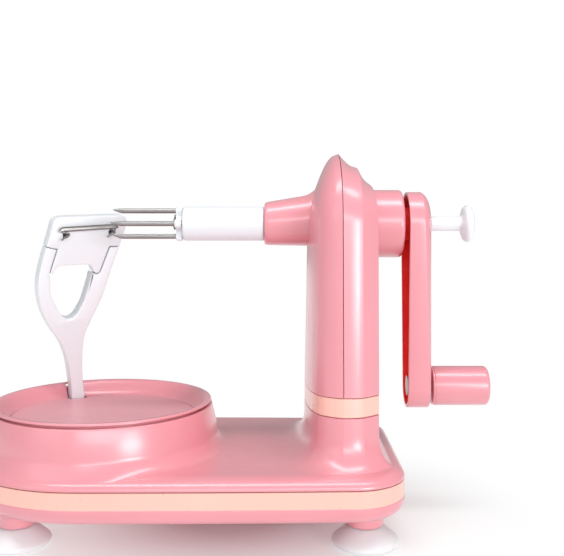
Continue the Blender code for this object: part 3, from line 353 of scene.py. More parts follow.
# Each section is (share of the half width, share of the depth), seam first.
front_side = [(1, 0), (0.968, 0.226), (0.90, 0.50), (0.82, 0.68), (0.755, 0.755), (0.62, 0.86),
              (0.35, 0.96), (0, 1)]
front_top = [(1, 0), (0.96, 0.2), (0.88, 0.355), (0.76, 0.5), (0.6, 0.645), (0.45, 0.755),
             (0.22, 0.9), (0, 1)]
rear_side = [(1, 0), (0.998, 0.18), (0.985, 0.38), (0.965, 0.53), (0.89, 0.775), (0.815, 0.985),
             (0.4, 1), (0, 1)]
rear_top = [(1, 0), (0.892, 0.2), (0.835, 0.34), (0.805, 0.53), (0.655, 0.655), (0.56, 0.86),
            (0.45, 1), (0, 1)]
crease_soft = 0.06


def curve_point(points, i, t):
    """Point on a smooth curve through the points, a share t along span i."""
    before = points[max(i - 1, 0)]
    here = points[i]
    there = points[i + 1]
    after = points[min(i + 2, len(points) - 1)]
    result = []
    for a, b, c, d in zip(before, here, there, after):
        result.append(0.5 * (2 * b + (c - a) * t + (2 * a - 5 * b + 4 * c - d) * t * t
                             + (3 * b - a - 3 * c + d) * t ** 3))
    return tuple(result)


def smooth_path(points, per_span=6):
    """Dense points along a smooth curve through the given ones."""
    path = []
    for i in range(len(points) - 1):
        path += [curve_point(points, i, k / per_span) for k in range(per_span)]
    return path + [points[-1]]


def section(points, creases, per_span=6):
    """Dense section through the points, with a narrow rounded break at each crease."""
    samples = []
    breaks = [0, *creases, len(points) - 1]
    for a, b in zip(breaks, breaks[1:]):
        part = points[a:b + 1]
        for i in range(len(part) - 1):
            for k in range(per_span):
                soft = crease_soft if k == 0 and i == 0 and a > 0 else 0.0
                samples.append(curve_point(part, i, k / per_span + soft))
        at_crease = b < len(points) - 1
        samples.append(curve_point(part, len(part) - 2, 1 - crease_soft) if at_crease else part[-1])
    return samples


front_sections = (section(front_side, [4]), section(front_top, [4]))
rear_sections = (section(rear_side, [3, 5]), section(rear_top, [3, 5]))


def half_width(z):
    if z >= shaft_z:
        return shaft_half_w
    f = (z - column_band_high.z) / (shaft_z - column_band_high.z)
    return column_half_w + (shaft_half_w - column_half_w) * f


def front_depth(z):
    f = min(1.0, (z - base_top_z) / (shaft_z - base_top_z))
    return front_foot_depth + (front_shaft_depth - front_foot_depth) * f


def column_plan(z):
    """Plan of the whole column: near seam, round the front, far seam, round the rear."""
    w = half_width(z)
    front = [(seam_x - front_depth(z) * d, -w * r) for r, d in front_sections[0]]
    rear = [(seam_x + rear_depth * d, w * r) for r, d in rear_sections[0]]
    plan = front + [(x, -y) for x, y in reversed(front[:-1])]
    plan += rear[1:]
    plan += [(x, -y) for x, y in reversed(rear[1:-1])]
    return plan


def plan_normals(plan):
    normals = []
    for i, (x, y) in enumerate(plan):
        x0, y0 = plan[i - 1]
        x1, y1 = plan[(i + 1) % len(plan)]
        length = math.hypot(x1 - x0, y1 - y0)
        normals.append((-(y1 - y0) / length, (x1 - x0) / length))
    return normals


def plan_row(z, grow):
    """The column's outline at a height, moved outwards by grow."""
    plan = column_plan(z)
    return [(x + nx * grow, y + ny * grow, z) for (x, y), (nx, ny) in zip(plan, plan_normals(plan))]


# ---------------------------------------------------------------- column foot
# Part of the base moulding: the column's section comes down and spreads over the base in a hollow
# curve, right out to the rounded edge at the sides and the right-hand end.

foot = bmesh.new()
foot_top_z = column_band_low.z - 0.35 * mm
foot_start_z = base_top_z + 15.0 * mm
foot_reach = 16.0 * mm
knee_share = 0.06
plan = column_plan(foot_start_z)
ends = []
for (x, y), (nx, ny) in zip(plan, plan_normals(plan)):
    reach = foot_reach
    while reach > 1.0 * mm and inset_of(x + nx * reach, y + ny * reach) < 0.6 * mm:
        reach -= 0.2 * mm
    ends.append((x + nx * reach, y + ny * reach))
for _ in range(6):
    ends = [tuple((a + 2 * b + c) / 4 for a, b, c in zip(ends[i - 1], ends[i], ends[(i + 1) % len(ends)]))
            for i in range(len(ends))]
rows = [plan_row(foot_top_z - 1.2 * mm, -column_wall), plan_row(foot_top_z, -column_wall),
        plan_row(foot_top_z, -0.35 * mm), plan_row(foot_top_z - 0.3 * mm, 0)]
rows += [plan_row(foot_top_z + (foot_start_z - foot_top_z) * k / 5, 0) for k in range(1, 5)]
for k in range(13):
    row = []
    for (x, y), (ex, ey) in zip(plan, ends):
        kx = x + (ex - x) * knee_share
        ky = y + (ey - y) * knee_share
        knee = (kx, ky, base_surface_z(inset_of(kx, ky)))
        end = (ex, ey, base_surface_z(inset_of(ex, ey)))
        row.append(hollow_curve((x, y, foot_start_z), knee, end, k / 12))
    rows.append(row)
rows.append([(x, y, base_surface_z(inset_of(x, y)) - 1.0 * mm) for x, y in ends])
rows.append([(x, y, base_top_z - 1.6 * mm) for x, y, z in plan_row(foot_start_z, -column_wall)])
skin_between(foot, rows, ring=True)
piece("base_column_foot", foot, "base", [pink_gloss], ["base_upper_shell"], angle=40)


# ---------------------------------------------------------------- column, front and rear shells
# Two pink mouldings with 2.4 mm walls, screwed together from the back. The front one carries the round
# nose for the spindle, the rear one the boss behind which the crank turns.

seam_gap = 0.18 * mm
shell_low_z = column_band_high.z + 0.35 * mm
bore_r = 7.9 * mm


def column_rays(low_z, rows_up, arch_steps):
    """Centre point, edge point and upness of each ray over the column, foot to foot."""
    rays = []
    heights = [low_z + (shaft_z - low_z) * i / rows_up for i in range(rows_up)]
    for z in heights:
        rays.append(((0, z), (-half_width(z), z), 0.0))
    for i in range(arch_steps + 1):
        a = math.pi * i / arch_steps
        edge = (-shaft_half_w * math.cos(a), shaft_z + arch_rise * math.sin(a))
        rays.append(((0, shaft_z), edge, math.sin(a) ** 2))
    for z in reversed(heights):
        rays.append(((0, z), (half_width(z), z), 0.0))
    return rays


def half_shell(sections, side, depth_of):
    """Outer and inner skin of a half shell, closed at the seam and at the foot."""
    shape = bmesh.new()
    skins = []
    for wall in (0.0, column_wall):
        grid = []
        for centre, edge, upness in column_rays(shell_low_z, 16, 64):
            length = math.hypot(edge[0] - centre[0], edge[1] - centre[1])
            shrink = (length - wall) / length
            row = []
            for (rs, ds), (rt, dt) in zip(*sections):
                radius = rs + (rt - rs) * upness
                share = ds + (dt - ds) * upness
                y = centre[0] + (edge[0] - centre[0]) * radius * shrink
                z = centre[1] + (edge[1] - centre[1]) * radius * shrink
                depth = seam_gap + (depth_of(z) - wall) * share
                row.append(shape.verts.new((seam_x + side * depth, y, z)))
            grid.append(row)
        for low, high in zip(grid, grid[1:]):
            for k in range(len(low) - 1):
                shape.faces.new((low[k], low[k + 1], high[k + 1], high[k]))
        skins.append(grid)
    outer, inner = skins
    last = len(outer) - 1
    for j in range(last):
        shape.faces.new((outer[j][0], outer[j + 1][0], inner[j + 1][0], inner[j][0]))
    for j in (0, last):
        for k in range(len(outer[j]) - 1):
            shape.faces.new((outer[j][k], outer[j][k + 1], inner[j][k + 1], inner[j][k]))
    bmesh.ops.remove_doubles(shape, verts=shape.verts, dist=2e-6)
    bmesh.ops.dissolve_degenerate(shape, dist=1e-6, edges=shape.edges)
    return shape


front_shell = piece("column_front_shell_fine", half_shell(front_sections, -1, front_depth), "base",
                    [pink_gloss], ["column_front_shell"], angle=60)
rear_shell = piece("column_rear_shell_fine", half_shell(rear_sections, 1, lambda z: rear_depth), "base",
                   [pink_gloss], ["column_rear_shell"], angle=60)
drill(front_shell, (0, shaft_z), bore_r, 30 * mm, 50 * mm)
drill(rear_shell, (0, shaft_z), bore_r, 70 * mm, 90 * mm)

# The nose tapers to its tip, rises a little towards the column and meets it in a fillet.
nose = bmesh.new()
nose_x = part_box("column_front_shell")[0].x
nose_tip_r = 11.7 * mm
nose_root_r = 14.4 * mm
nose_root_x = 47.0 * mm
nose_root_rise = 2.1 * mm
nose_fillet = 3.2 * mm
nose_steps = 22
rows = []
for k in range(nose_steps + 1):
    f = k / nose_steps
    x = nose_x + (nose_root_x - nose_x) * f
    fillet = nose_fillet * max(0.0, (x - 39 * mm) / (8 * mm)) ** 2.4
    tip_edge = 0.7 * mm * (1 - min(1.0, (x - nose_x) / (0.9 * mm))) ** 2
    radius = nose_tip_r + (nose_root_r - nose_tip_r) * f - tip_edge
    row = []
    for a in full_turn(72):
        grow = fillet * max(0.0, math.sin(a)) ** 1.3
        row.append((x, (radius + grow * 0.4) * math.cos(a),
                    shaft_z + nose_root_rise * f + (radius + grow) * math.sin(a)))
    rows.append(row)
for x, r in ((nose_root_x, bore_r), (nose_x + 0.4 * mm, bore_r), (nose_x, bore_r + 0.5 * mm)):
    rows.append([(x, r * math.cos(a), shaft_z + r * math.sin(a)) for a in full_turn(72)])
skin_between(nose, rows, ring=True)
piece("column_nose", nose, "base", [pink_gloss], ["column_front_shell"], angle=50)

# The boss is a plain drum with a rounded rim, and its top runs up into the shell.
boss = bmesh.new()
boss_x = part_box("column_rear_shell")[1].x
boss_r = 18.5 * mm
boss_root_x = 70.5 * mm
boss_edge = 2.0 * mm
boss_fillet = 5.6 * mm
stations = [(boss_root_x + (boss_x - boss_edge - boss_root_x) * k / 20, boss_r) for k in range(20)]
stations += [(x, r) for r, x in corner((boss_r - boss_edge, boss_x - boss_edge), boss_edge, 0, 90, 6)]
stations += [(boss_x, bore_r + 0.5 * mm), (boss_x - 0.5 * mm, bore_r), (boss_root_x, bore_r)]
rows = []
for x, r in stations:
    outside = r > bore_r + mm
    fillet = boss_fillet * max(0.0, 1 - (x - boss_root_x) / (9 * mm)) ** 2 if outside else 0.0
    row = []
    for a in full_turn(96):
        grow = r + fillet * max(0.0, math.sin(a)) ** 2
        row.append((x, grow * math.cos(a), shaft_z + grow * math.sin(a)))
    rows.append(row)
skin_between(boss, rows, ring=True)
piece("column_boss", boss, "base", [pink_gloss], ["column_rear_shell"], angle=50)


# ---------------------------------------------------------------- peach bands
# Two thin accent rings in peach ABS, one trapped between the halves of the base and one under the
# column shells. They have crisp edges with a hair of radius and stand in dark joint lines.

peach_gloss = plastic("peach_gloss", (0.89, 0.51, 0.43), (0.88, 0.46, 0.385), 0.3, coat=0.7)


def band(name, rows, stands_for):
    shape = bmesh.new()
    skin_between(shape, rows, ring=True)
    piece(name, shape, "base", [peach_gloss], [stands_for])


soft = 0.25 * mm
inset = 0.15 * mm
low, high = band_low.z, band_high.z
stations = [(low + soft, inset), (high - soft, inset), (high, inset + soft), (high, 2.6 * mm),
            (low, 2.6 * mm), (low, inset + soft)]
band("base_band_fine", base_rows(stations), "base_accent_band")
low, high = column_band_low.z, column_band_high.z
stations = [(low + soft, 0.05 * mm), (high - soft, 0.05 * mm), (high, -soft), (high, -column_wall),
            (low, -column_wall), (low, -soft)]
band("column_band_fine", [plan_row(z, grow) for z, grow in stations], "column_accent_band")


# ---------------------------------------------------------------- base, lower cover and foot posts
# The tray that closes the base from below: a rounded under-edge, a flat floor and four short posts
# that take the studs of the suction cups.

cover = bmesh.new()
cover_low_z = 15.9 * mm
cover_edge = 7.0 * mm
stations = []
for k in range(11):
    a = math.radians(90 * k / 10)
    stations.append((cover_low_z + cover_edge * (1 - math.cos(a)), cover_edge * (1 - math.sin(a))))
stations += from_point((base_high.z, 0), [(-0.75, 0), (-0.55, 0.2), (-0.55, 2.4)])
stations += from_point((cover_low_z, 0), [(7.0, 2.6), (2.4, 8.0)])
skin_between(cover, base_rows(stations), caps=True)
piece("base_lower_cover_fine", cover, "base", [pink_gloss], ["base_lower_cover"])

cup_names = ("front_left", "rear_left", "front_right", "rear_right")
for name in cup_names:
    low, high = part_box("suction_cup_" + name)
    post = bmesh.new()
    outline = from_point((0, 0), [(4.0, 9.7), (8.6, 9.7), (9.0, 10.1), (9.05, 14.2), (9.5, 15.3),
                                  (10.6, 16.1), (10.6, 17.0), (4.0, 17.0)])
    turn(post, outline, 64, (low + high) / 2)
    piece("foot_post_" + name, post, "base", [pink_gloss], ["base_lower_cover"])


# ---------------------------------------------------------------- suction cups
# Four soft milky cups, each one moulding with a stud that is pushed up into a foot post. The bell thins
# out to a soft rim that lies flat on the table.

milky_soft = plastic("milky_soft", (0.90, 0.90, 0.92), (0.84, 0.84, 0.86), 0.4, coat=0.1)
milky_shader = milky_soft.node_tree.nodes["Principled BSDF"]
milky_shader.inputs["Subsurface Weight"].default_value = 0.25
milky_shader.inputs["Subsurface Scale"].default_value = 0.004
milky_shader.inputs["Transmission Weight"].default_value = 0.15

for name in cup_names:
    low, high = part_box("suction_cup_" + name)
    rim_r = (high.x - low.x) / 2 - 0.02 * mm
    cup = bmesh.new()
    outline = from_point((0, high.z), [(0, -0.1), (3.1, -0.1), (3.5, -0.6)])
    outline += from_point((0, 0), [(3.5, 9.4), (7.9, 9.4), (8.6, 9.2), (9.6, 8.6), (11.2, 7.5), (13.0, 6.1),
                                   (14.8, 4.6), (16.1, 3.3)])
    outline += from_point((rim_r, 0), [(-0.1, 2.5), (0, 2.0), (-0.15, 1.4), (-0.5, 0.8), (-1.0, 0.2),
                                       (-1.4, 0), (-4.0, 0), (-4.6, 0.3)])
    outline += from_point((0, 0), [(9.5, 1.2), (6.0, 2.1), (0, 2.6)])
    turn(cup, outline, 72, (low + high) / 2)
    piece("cup_" + name, cup, "base", [milky_soft], ["suction_cup_" + name], angle=40)


# ---------------------------------------------------------------- turntable, ring and disc
# A pink dish with a rounded bead for a rim turns inside the pedestal on a hidden hub. A satin mauve disc
# is pressed into it. Both have the slot in which the foot of the peeler arm swings.

arm_angle = math.radians(120)
arm_radius = 50.4 * mm
arm_pivot_z = 46.5 * mm
arm_place = Vector((table_x + arm_radius * math.cos(arm_angle),
                    arm_radius * math.sin(arm_angle), arm_pivot_z))
arm_frame = Matrix.Translation(arm_place) @ Matrix.Rotation(arm_angle - math.radians(90), 4, "Z")
disc_low, disc_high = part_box("turntable_disc")
disc_r = (disc_high.x - disc_low.x) / 2


def placed(frame_matrix, points):
    """Points carried from a frame of their own into the scene."""
    return [tuple(frame_matrix @ Vector(point)) for point in points]


def cut_arm_slot(target):
    """The slot with its round corners, laid out in the arm's own frame."""
    low_x, low_y = -5.9 * mm, -6.8 * mm
    high_x, high_y = 4.3 * mm, 7.6 * mm
    r = 1.2 * mm
    plan = corner((high_x - r, high_y - r), r, 0, 90, 5)
    plan += corner((low_x + r, high_y - r), r, 90, 180, 5)
    plan += corner((low_x + r, low_y + r), r, 180, 270, 5)
    plan += corner((high_x - r, low_y + r), r, 270, 360, 5)
    cut_out(target, [placed(arm_frame, [(x, y, z) for x, y in plan]) for z in (-4 * mm, 17 * mm)])


ring = bmesh.new()
rim_top = ring_high.z
lip_z = wall_top_z + 1.25 * mm
floor_high = disc_low.z - 0.1 * mm
floor_low = floor_high - 2.2 * mm
skirt_r = 56.2 * mm
hub_r = 10 * mm
hub_bore_r = 4.3 * mm
hub_low_z = 32.1 * mm
outline = [(disc_r + 0.2 * mm, floor_high)]
outline += from_point((disc_r, disc_high.z), [(0.2, -0.3), (0.5, -0.05), (1.1, 0.35), (2.3, 1.9), (3.9, 4.4),
                                              (5.0, 6.2), (5.8, 7.2)])
outline.append((disc_r + 6.6 * mm, rim_top - 0.1 * mm))
outline += corner((table_r - 1.0 * mm, rim_top - 1.0 * mm), 1.0 * mm, 90, 0, 8)
outline += from_point((table_r, lip_z), [(-0.1, 0.15), (-0.4, 0), (-1.8, 0)])
outline += [(skirt_r, lip_z - 0.4 * mm), (skirt_r, floor_low), (hub_r, floor_low), (hub_r, hub_low_z),
            (hub_bore_r, hub_low_z), (hub_bore_r, floor_high)]
turn(ring, outline, 192, (table_x, 0, 0))
ring_obj = piece("turntable_ring_fine", ring, "turntable", [pink_gloss], ["turntable_ring"],
                 angle=40)
cut_arm_slot(ring_obj)

mauve_satin = plastic("mauve_satin", (0.72, 0.345, 0.385), (0.67, 0.31, 0.35), 0.42, coat=0.05, wave=0.05)
disc = bmesh.new()
outline = [(0, disc_low.z), (0, disc_high.z), (disc_r * 0.5, disc_high.z), (disc_r - 0.9 * mm, disc_high.z)]
outline += corner((disc_r - 0.75 * mm, disc_high.z - 0.7 * mm), 0.7 * mm, 90, 0, 5)
outline += [(disc_r - 0.05 * mm, disc_low.z + 0.3 * mm), (disc_r - 0.35 * mm, disc_low.z)]
turn(disc, outline, 192, (table_x, 0, 0))
disc_obj = piece("turntable_disc_fine", disc, "turntable", [mauve_satin], ["turntable_disc"])
cut_arm_slot(disc_obj)

# Two lugs under the slot hold the arm's pin.
lug_t = 3.6 * mm
for name, start in (("left", -10.2 * mm), ("right", 5.2 * mm)):
    lug = bmesh.new()
    plan = corner((3.0 * mm, 2.6 * mm), 1.5 * mm, 0, 90, 4)
    plan += corner((-3.0 * mm, 2.6 * mm), 1.5 * mm, 90, 180, 4)
    plan += [(-4.5 * mm, -3.6 * mm), (4.5 * mm, -3.6 * mm)]
    rows = [placed(arm_frame, [(x, y, z) for y, z in plan]) for x in (start, start + lug_t)]
    skin_between(lug, rows, caps=True)
    piece("arm_lug_" + name, lug, "turntable", [pink_gloss], ["turntable_ring"])


# ---------------------------------------------------------------- peeler arm
# A white ABS moulding with a broad flat face and rounded edges. It stands in the turntable slot on a
# steel pin, leans in over the apple and forks into two prongs that carry the blade holder.

white_satin = plastic("white_satin", (0.78, 0.81, 0.84), (0.74, 0.77, 0.81), 0.34, coat=0.2)
arm_lean = Matrix.Rotation(math.radians(8.64), 4, "X")
plate_frame = arm_frame @ arm_lean
arm_t = 9.4 * mm
arm_edge = 0.9 * mm
# Outlines of the flat face in millimetres: across, and up from the pin.
arm_outer = [(-4.4, -4.0), (-4.9, 10.0), (-6.6, 22.5), (-9.2, 34.5), (-13.2, 43.7), (-19.2, 52.3),
             (-23.9, 61.6), (-26.6, 71.1), (-27.2, 79.5), (-25.9, 89.6), (-23.4, 100.3)]
arm_mouth_left = [(-17.3, 98.9), (-19.4, 91.5), (-21.2, 84.5)]
arm_mouth = [(-21.2, 84.5), (-20.4, 81.5), (-19.8, 73.5), (-16.4, 65.3), (-12.4, 59.5), (-8.4, 57.7),
             (-4.8, 59.7), (-2.2, 64.0), (-0.1, 68.7), (2.4, 78.2), (4.2, 84.9)]
arm_mouth_right = [(4.2, 84.9), (6.0, 84.1), (8.6, 85.1), (11.2, 92.4), (13.9, 100.1)]
arm_inner = [(19.6, 100.2), (15.2, 86.5), (11.4, 72.5), (7.7, 63.5), (3.7, 54.6), (1.1, 47.1), (0.3, 37.3),
             (0.9, 23.5), (2.7, 10.1), (3.2, -4.0)]


def joined(*runs):
    """One closed outline in metres from smooth runs that follow each other, without doubled points."""
    nearest = 0.05 * mm
    outline = []
    for run in runs:
        for p in from_point((0, 0), smooth_path(run, 5)):
            if not outline or math.dist(p, outline[-1]) > nearest:
                outline.append(p)
    if math.dist(outline[0], outline[-1]) < nearest:
        outline.pop()
    return outline


def drawn_in(outline, inset):
    """The outline moved to its inner side, with mitred corners limited to a short reach."""
    after = outline[1:] + outline[:1]
    before = outline[-1:] + outline[:-1]
    area = sum(x * ny - nx * y for (x, y), (nx, ny) in zip(outline, after))
    sign = 1 if area > 0 else -1
    result = []
    for here, last, following in zip(outline, before, after):
        d1 = Vector((here[0] - last[0], here[1] - last[1])).normalized()
        d2 = Vector((following[0] - here[0], following[1] - here[1])).normalized()
        n1 = Vector((-d1.y, d1.x)) * sign
        n2 = Vector((-d2.y, d2.x)) * sign
        middle = (n1 + n2).normalized()
        reach = inset / max(0.55, middle.dot(n1))
        result.append((here[0] + middle.x * reach, here[1] + middle.y * reach))
    return result


def slab(shape, outline, half_t, edge, place, steps=4):
    """Plate with rounded edges on both faces; the outline lies across and up, the thickness along Y."""
    stations = []
    for k in range(steps + 1):
        a = math.pi / 2 * k / steps
        stations.append((-half_t + edge * (1 - math.cos(a)), edge * (1 - math.sin(a))))
    stations += [(-depth, inset) for depth, inset in reversed(stations)]
    rows = []
    for depth, inset in stations:
        points = drawn_in(outline, inset) if inset > 0 else outline
        rows.append(placed(place, [(x, depth, z) for x, z in points]))
    skin_between(shape, rows, caps=True)


arm = bmesh.new()
outline = joined(arm_outer, arm_mouth_left, arm_mouth, arm_mouth_right, arm_inner)
slab(arm, outline, arm_t / 2, arm_edge, plate_frame)
piece("peeler_arm_fine", arm, "arm", [white_satin], ["peeler_arm"], angle=40)


# ---------------------------------------------------------------- blade holder
# A separate white cap that clips between the arm's two prongs along stepped joint lines. Two round-ended
# windows let the ends of the blade swivel.

holder_top = [(-23.2, 100.8), (-22.6, 103.6), (-21.8, 106.5), (-20.9, 110.8), (-20.2, 113.7), (-19.6, 115.2),
              (-18.6, 116.4), (-16.2, 117.4), (-8.0, 117.9), (2.0, 118.3), (12.0, 118.7), (20.2, 118.9),
              (21.8, 118.5), (22.9, 117.4), (23.3, 115.9), (22.8, 112.2), (21.6, 107.9), (19.7, 100.8)]
holder_right = [(19.7, 100.8), (16.6, 100.75), (13.4, 100.7)]
holder_tab_right = [(13.4, 100.7), (10.8, 93.2), (8.2, 85.7)]
holder_tab_foot = [(8.2, 85.7), (7.3, 85.0), (6.2, 84.8), (5.2, 85.3), (4.6, 86.3)]
holder_window = [(4.6, 86.3), (3.7, 88.3), (2.3, 89.7), (-0.5, 90.0), (-6.0, 89.9), (-12.0, 89.6),
                 (-14.6, 89.4), (-16.4, 88.8), (-17.9, 87.6), (-18.9, 85.6)]
holder_tab_left = [(-18.9, 85.6), (-19.3, 85.0), (-20.1, 84.8), (-20.6, 85.2)]
holder_left = [(-20.6, 85.2), (-18.7, 92.2), (-16.8, 99.4)]
holder_step = [(-16.8, 99.4), (-20.0, 99.9), (-23.2, 100.8)]
holder_edge = 0.45 * mm
blade_axis = Vector((0.6, -3.1, 108.2)) * mm
blade_tilt = Matrix.Rotation(-math.radians(3.5), 4, "Y")
blade_place = plate_frame @ Matrix.Translation(blade_axis) @ blade_tilt
hook_out = 13.5

holder = bmesh.new()
outline = joined(holder_top, holder_right, holder_tab_right, holder_tab_foot, holder_window, holder_tab_left,
                 holder_left, holder_step)
slab(holder, outline, arm_t / 2, holder_edge, plate_frame)
holder_obj = piece("blade_holder_fine", holder, "arm", [white_satin], ["blade_holder"],
                   angle=40)
window_r = 1.65 * mm
for side in (-1, 1):
    centre = side * hook_out * mm
    plan = corner((centre, 0.35 * mm), window_r, 0, 180, 14)
    plan += corner((centre, -0.35 * mm), window_r, 180, 360, 14)
    cut_out(holder_obj, [placed(blade_place, [(x, y, z) for x, z in plan]) for y in (-8 * mm, 5.4 * mm)])


# ---------------------------------------------------------------- peeler blade
# A strip of hardened steel, ground to an edge along the top and rolled into a thick back. Its ends are
# drawn round into S-shaped hooks that pass through the windows of the holder.

def metal(name, colour, other, low, high, stretch):
    """Brushed or drawn metal: fine lines along one direction, small stains and a soft colour drift."""
    mat, tree, shader = new_material(name)
    shader.inputs["Metallic"].default_value = 1.0
    shader.inputs["Anisotropic"].default_value = 0.35
    where = tree.nodes.new("ShaderNodeTexCoord").outputs["Object"]
    squeeze = tree.nodes.new("ShaderNodeMapping")
    squeeze.inputs["Scale"].default_value = stretch
    tree.links.new(where, squeeze.inputs["Vector"])
    lines = noise(tree, squeeze.outputs["Vector"], 260.0, 4.0)
    drive_colour(tree, shader, noise(tree, where, 60.0, 3.0), colour, other)
    drive_gloss(tree, shader, lines, low, high)
    drive_bump(tree, shader, lines, 0.12, 0.00015)
    return mat


dark_steel = metal("dark_steel", (0.30, 0.29, 0.285), (0.21, 0.205, 0.20), 0.24, 0.42, (0.06, 1.0, 1.0))


def wire(shape, path, radii, sides=12):
    """Flattened round bar along a path, with one radius each way."""
    rows = []
    side_axis = None
    for i, p in enumerate(path):
        before = Vector(path[max(i - 1, 0)])
        after = Vector(path[min(i + 1, len(path) - 1)])
        ahead = (after - before).normalized()
        if side_axis is None:
            guess = Vector((0, 0, 1)) if abs(ahead.z) < 0.9 else Vector((0, 1, 0))
            side_axis = ahead.cross(guess).normalized()
        else:
            side_axis = (side_axis - ahead * side_axis.dot(ahead)).normalized()
        other = ahead.cross(side_axis)
        middle = Vector(p)
        rows.append([tuple(middle + side_axis * (radii[0] * math.cos(t)) + other * (radii[1] * math.sin(t)))
                     for t in full_turn(sides)])
    skin_between(shape, rows, caps=True)


blade = bmesh.new()
# The strip's section in (y, z) from the swivel axis: a rolled back below and a ground edge above.
strip = [(-4.62, 5.45), (-4.86, 5.0), (-5.06, 4.2), (-5.18, 3.3), (-5.16, 2.9), (-5.0, 2.62), (-4.72, 2.5),
         (-4.42, 2.62), (-4.24, 2.9), (-4.22, 3.4), (-4.36, 4.3), (-4.52, 5.0)]
strip_left = -18.0
strip_length = 35.0
strip_mid_z = 3.3
rows = []
for k in range(41):
    f = k / 40
    end = min(1.0, f / 0.07, (1 - f) / 0.10)
    narrow = 0.2 + 0.8 * math.sin(math.pi / 2 * end)
    section_points = [(strip_left + strip_length * f, y, strip_mid_z + (z - strip_mid_z) * narrow)
                      for y, z in strip]
    rows.append(placed(blade_place, from_point((0, 0, 0), section_points)))
skin_between(blade, rows, caps=True)
hook_starts = {-1: [(-17.6, -4.8, 3.2), (-hook_out - 1.4, -5.1, 2.2)],
               1: [(15.6, -4.8, 3.2), (hook_out + 1.1, -5.1, 2.1)]}
for side in (-1, 1):
    c = side * hook_out
    hook = hook_starts[side] + [(c + 0.9, -5.2, 1.4), (c + 1.1, -4.9, 0.5), (c + 0.3, -4.6, -0.25),
                                (c - 1.2, -4.75, -0.75), (c - 2.4, -4.95, -1.5), (c - 3.4, -4.9, -2.1)]
    wire(blade, placed(blade_place, from_point((0, 0, 0), smooth_path(hook))), (0.62 * mm, 0.5 * mm))
    stem = [(c + 0.6, -4.9, 0.6), (c + 0.4, -3.6, 0.2), (c + 0.1, -1.4, 0.0), (c, 1.0, 0.0)]
    wire(blade, placed(blade_place, from_point((0, 0, 0), smooth_path(stem))), (0.6 * mm, 0.6 * mm))
piece("peeler_blade_fine", blade, "blade", [dark_steel], ["peeler_blade"], angle=45)


# ---------------------------------------------------------------- fork sleeve and prongs
# A white sleeve with a rounded end closes the drive shaft and holds four steel prongs, ground to a
# slanting point, that carry the apple.

sleeve_low, sleeve_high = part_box("fork_sleeve")
sleeve_r = (sleeve_high.y - sleeve_low.y) / 2
shaft_axis = (0, 0, shaft_z)
sleeve = bmesh.new()
sleeve_end = 1.5 * mm
outline = [(2.4 * mm, sleeve_low.x + 0.3 * mm), (2.7 * mm, sleeve_low.x)]
outline += corner((sleeve_r - sleeve_end, sleeve_low.x + sleeve_end), sleeve_end, -90, 0, 8)
outline += [(sleeve_r, 0.0), (sleeve_r, sleeve_high.x - 0.3 * mm), (sleeve_r - 0.3 * mm, sleeve_high.x),
            (5.3 * mm, sleeve_high.x), (5.3 * mm, -18.3 * mm), (2.4 * mm, -18.3 * mm)]
turn(sleeve, outline, 128, shaft_axis, "X")
sleeve_obj = piece("fork_sleeve_fine", sleeve, "spindle", [white_satin], ["fork_sleeve"])
prong_places = []
for name in ("top", "bottom", "front", "rear"):
    low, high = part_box("fork_prong_" + name)
    prong_places.append((name, (low.y + high.y) / 2, (low.z + high.z) / 2))
for name, y, z in prong_places:
    drill(sleeve_obj, (y, z), 1.45 * mm, sleeve_low.x - mm, -14 * mm, steps=24)

bright_steel = metal("prong_steel", (0.40, 0.39, 0.385), (0.27, 0.265, 0.26), 0.20, 0.36, (0.05, 1.0, 1.0))
prong_r = 1.35 * mm
prong_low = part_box("fork_prong_top")[0].x
point_length = 5.2
# Share of the prong's radius at each distance from its tip, in millimetres.
prong_stations = [(0.0, 0.10), (0.5, 0.24), (1.3, 0.42), (2.4, 0.64), (3.8, 0.86), (5.2, 0.97), (6.6, 1.0),
                  (30.0, 1.0), (50.2, 1.0), (50.5, 0.8)]
for name, y, z in prong_places:
    prong = bmesh.new()
    rows = []
    for along, share in prong_stations:
        slant = 0.45 * prong_r * (1 - min(1.0, along / point_length))
        r = prong_r * share
        rows.append([(prong_low + along * mm, y + r * math.cos(a), z + slant + r * math.sin(a))
                     for a in full_turn(24)])
    skin_between(prong, rows, caps=True)
    piece("prong_" + name, prong, "spindle", [bright_steel], ["fork_prong_" + name], angle=40)


# ---------------------------------------------------------------- ejector
# A white push rod runs through the hollow shaft. Its knob is pushed from the crank side, and a white
# plate with four ears then slides along the prongs and frees the core. A spring clip holds the plate.

rod_low, rod_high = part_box("ejector_rod")
rod_r = 2.1 * mm
stem_r = 4.0 * mm
knob_r = (rod_high.y - rod_low.y) / 2
rod = bmesh.new()
knob_end = rod_high.x
stem_start = 109.5 * mm
outline = [(0, rod_low.x), (rod_r - 0.3 * mm, rod_low.x), (rod_r, rod_low.x + 0.3 * mm), (rod_r, stem_start),
           (stem_r - 0.2 * mm, stem_start), (stem_r, stem_start + 0.2 * mm)]
outline += from_point((stem_r, knob_end), [(0, -7.4), (0.15, -6.7), (0.7, -6.2), (1.8, -5.85)])
outline += from_point((knob_r, knob_end), [(-3.0, -5.6), (-1.4, -5.0), (-0.4, -4.0), (0, -2.9), (-0.35, -1.9),
                                           (-1.2, -1.0), (-2.6, -0.3), (-4.2, 0)])
outline.append((0, knob_end - 0.25 * mm))
turn(rod, outline, 96, shaft_axis, "X")
piece("ejector_rod_fine", rod, "ejector", [white_satin], ["ejector_rod"], angle=40)

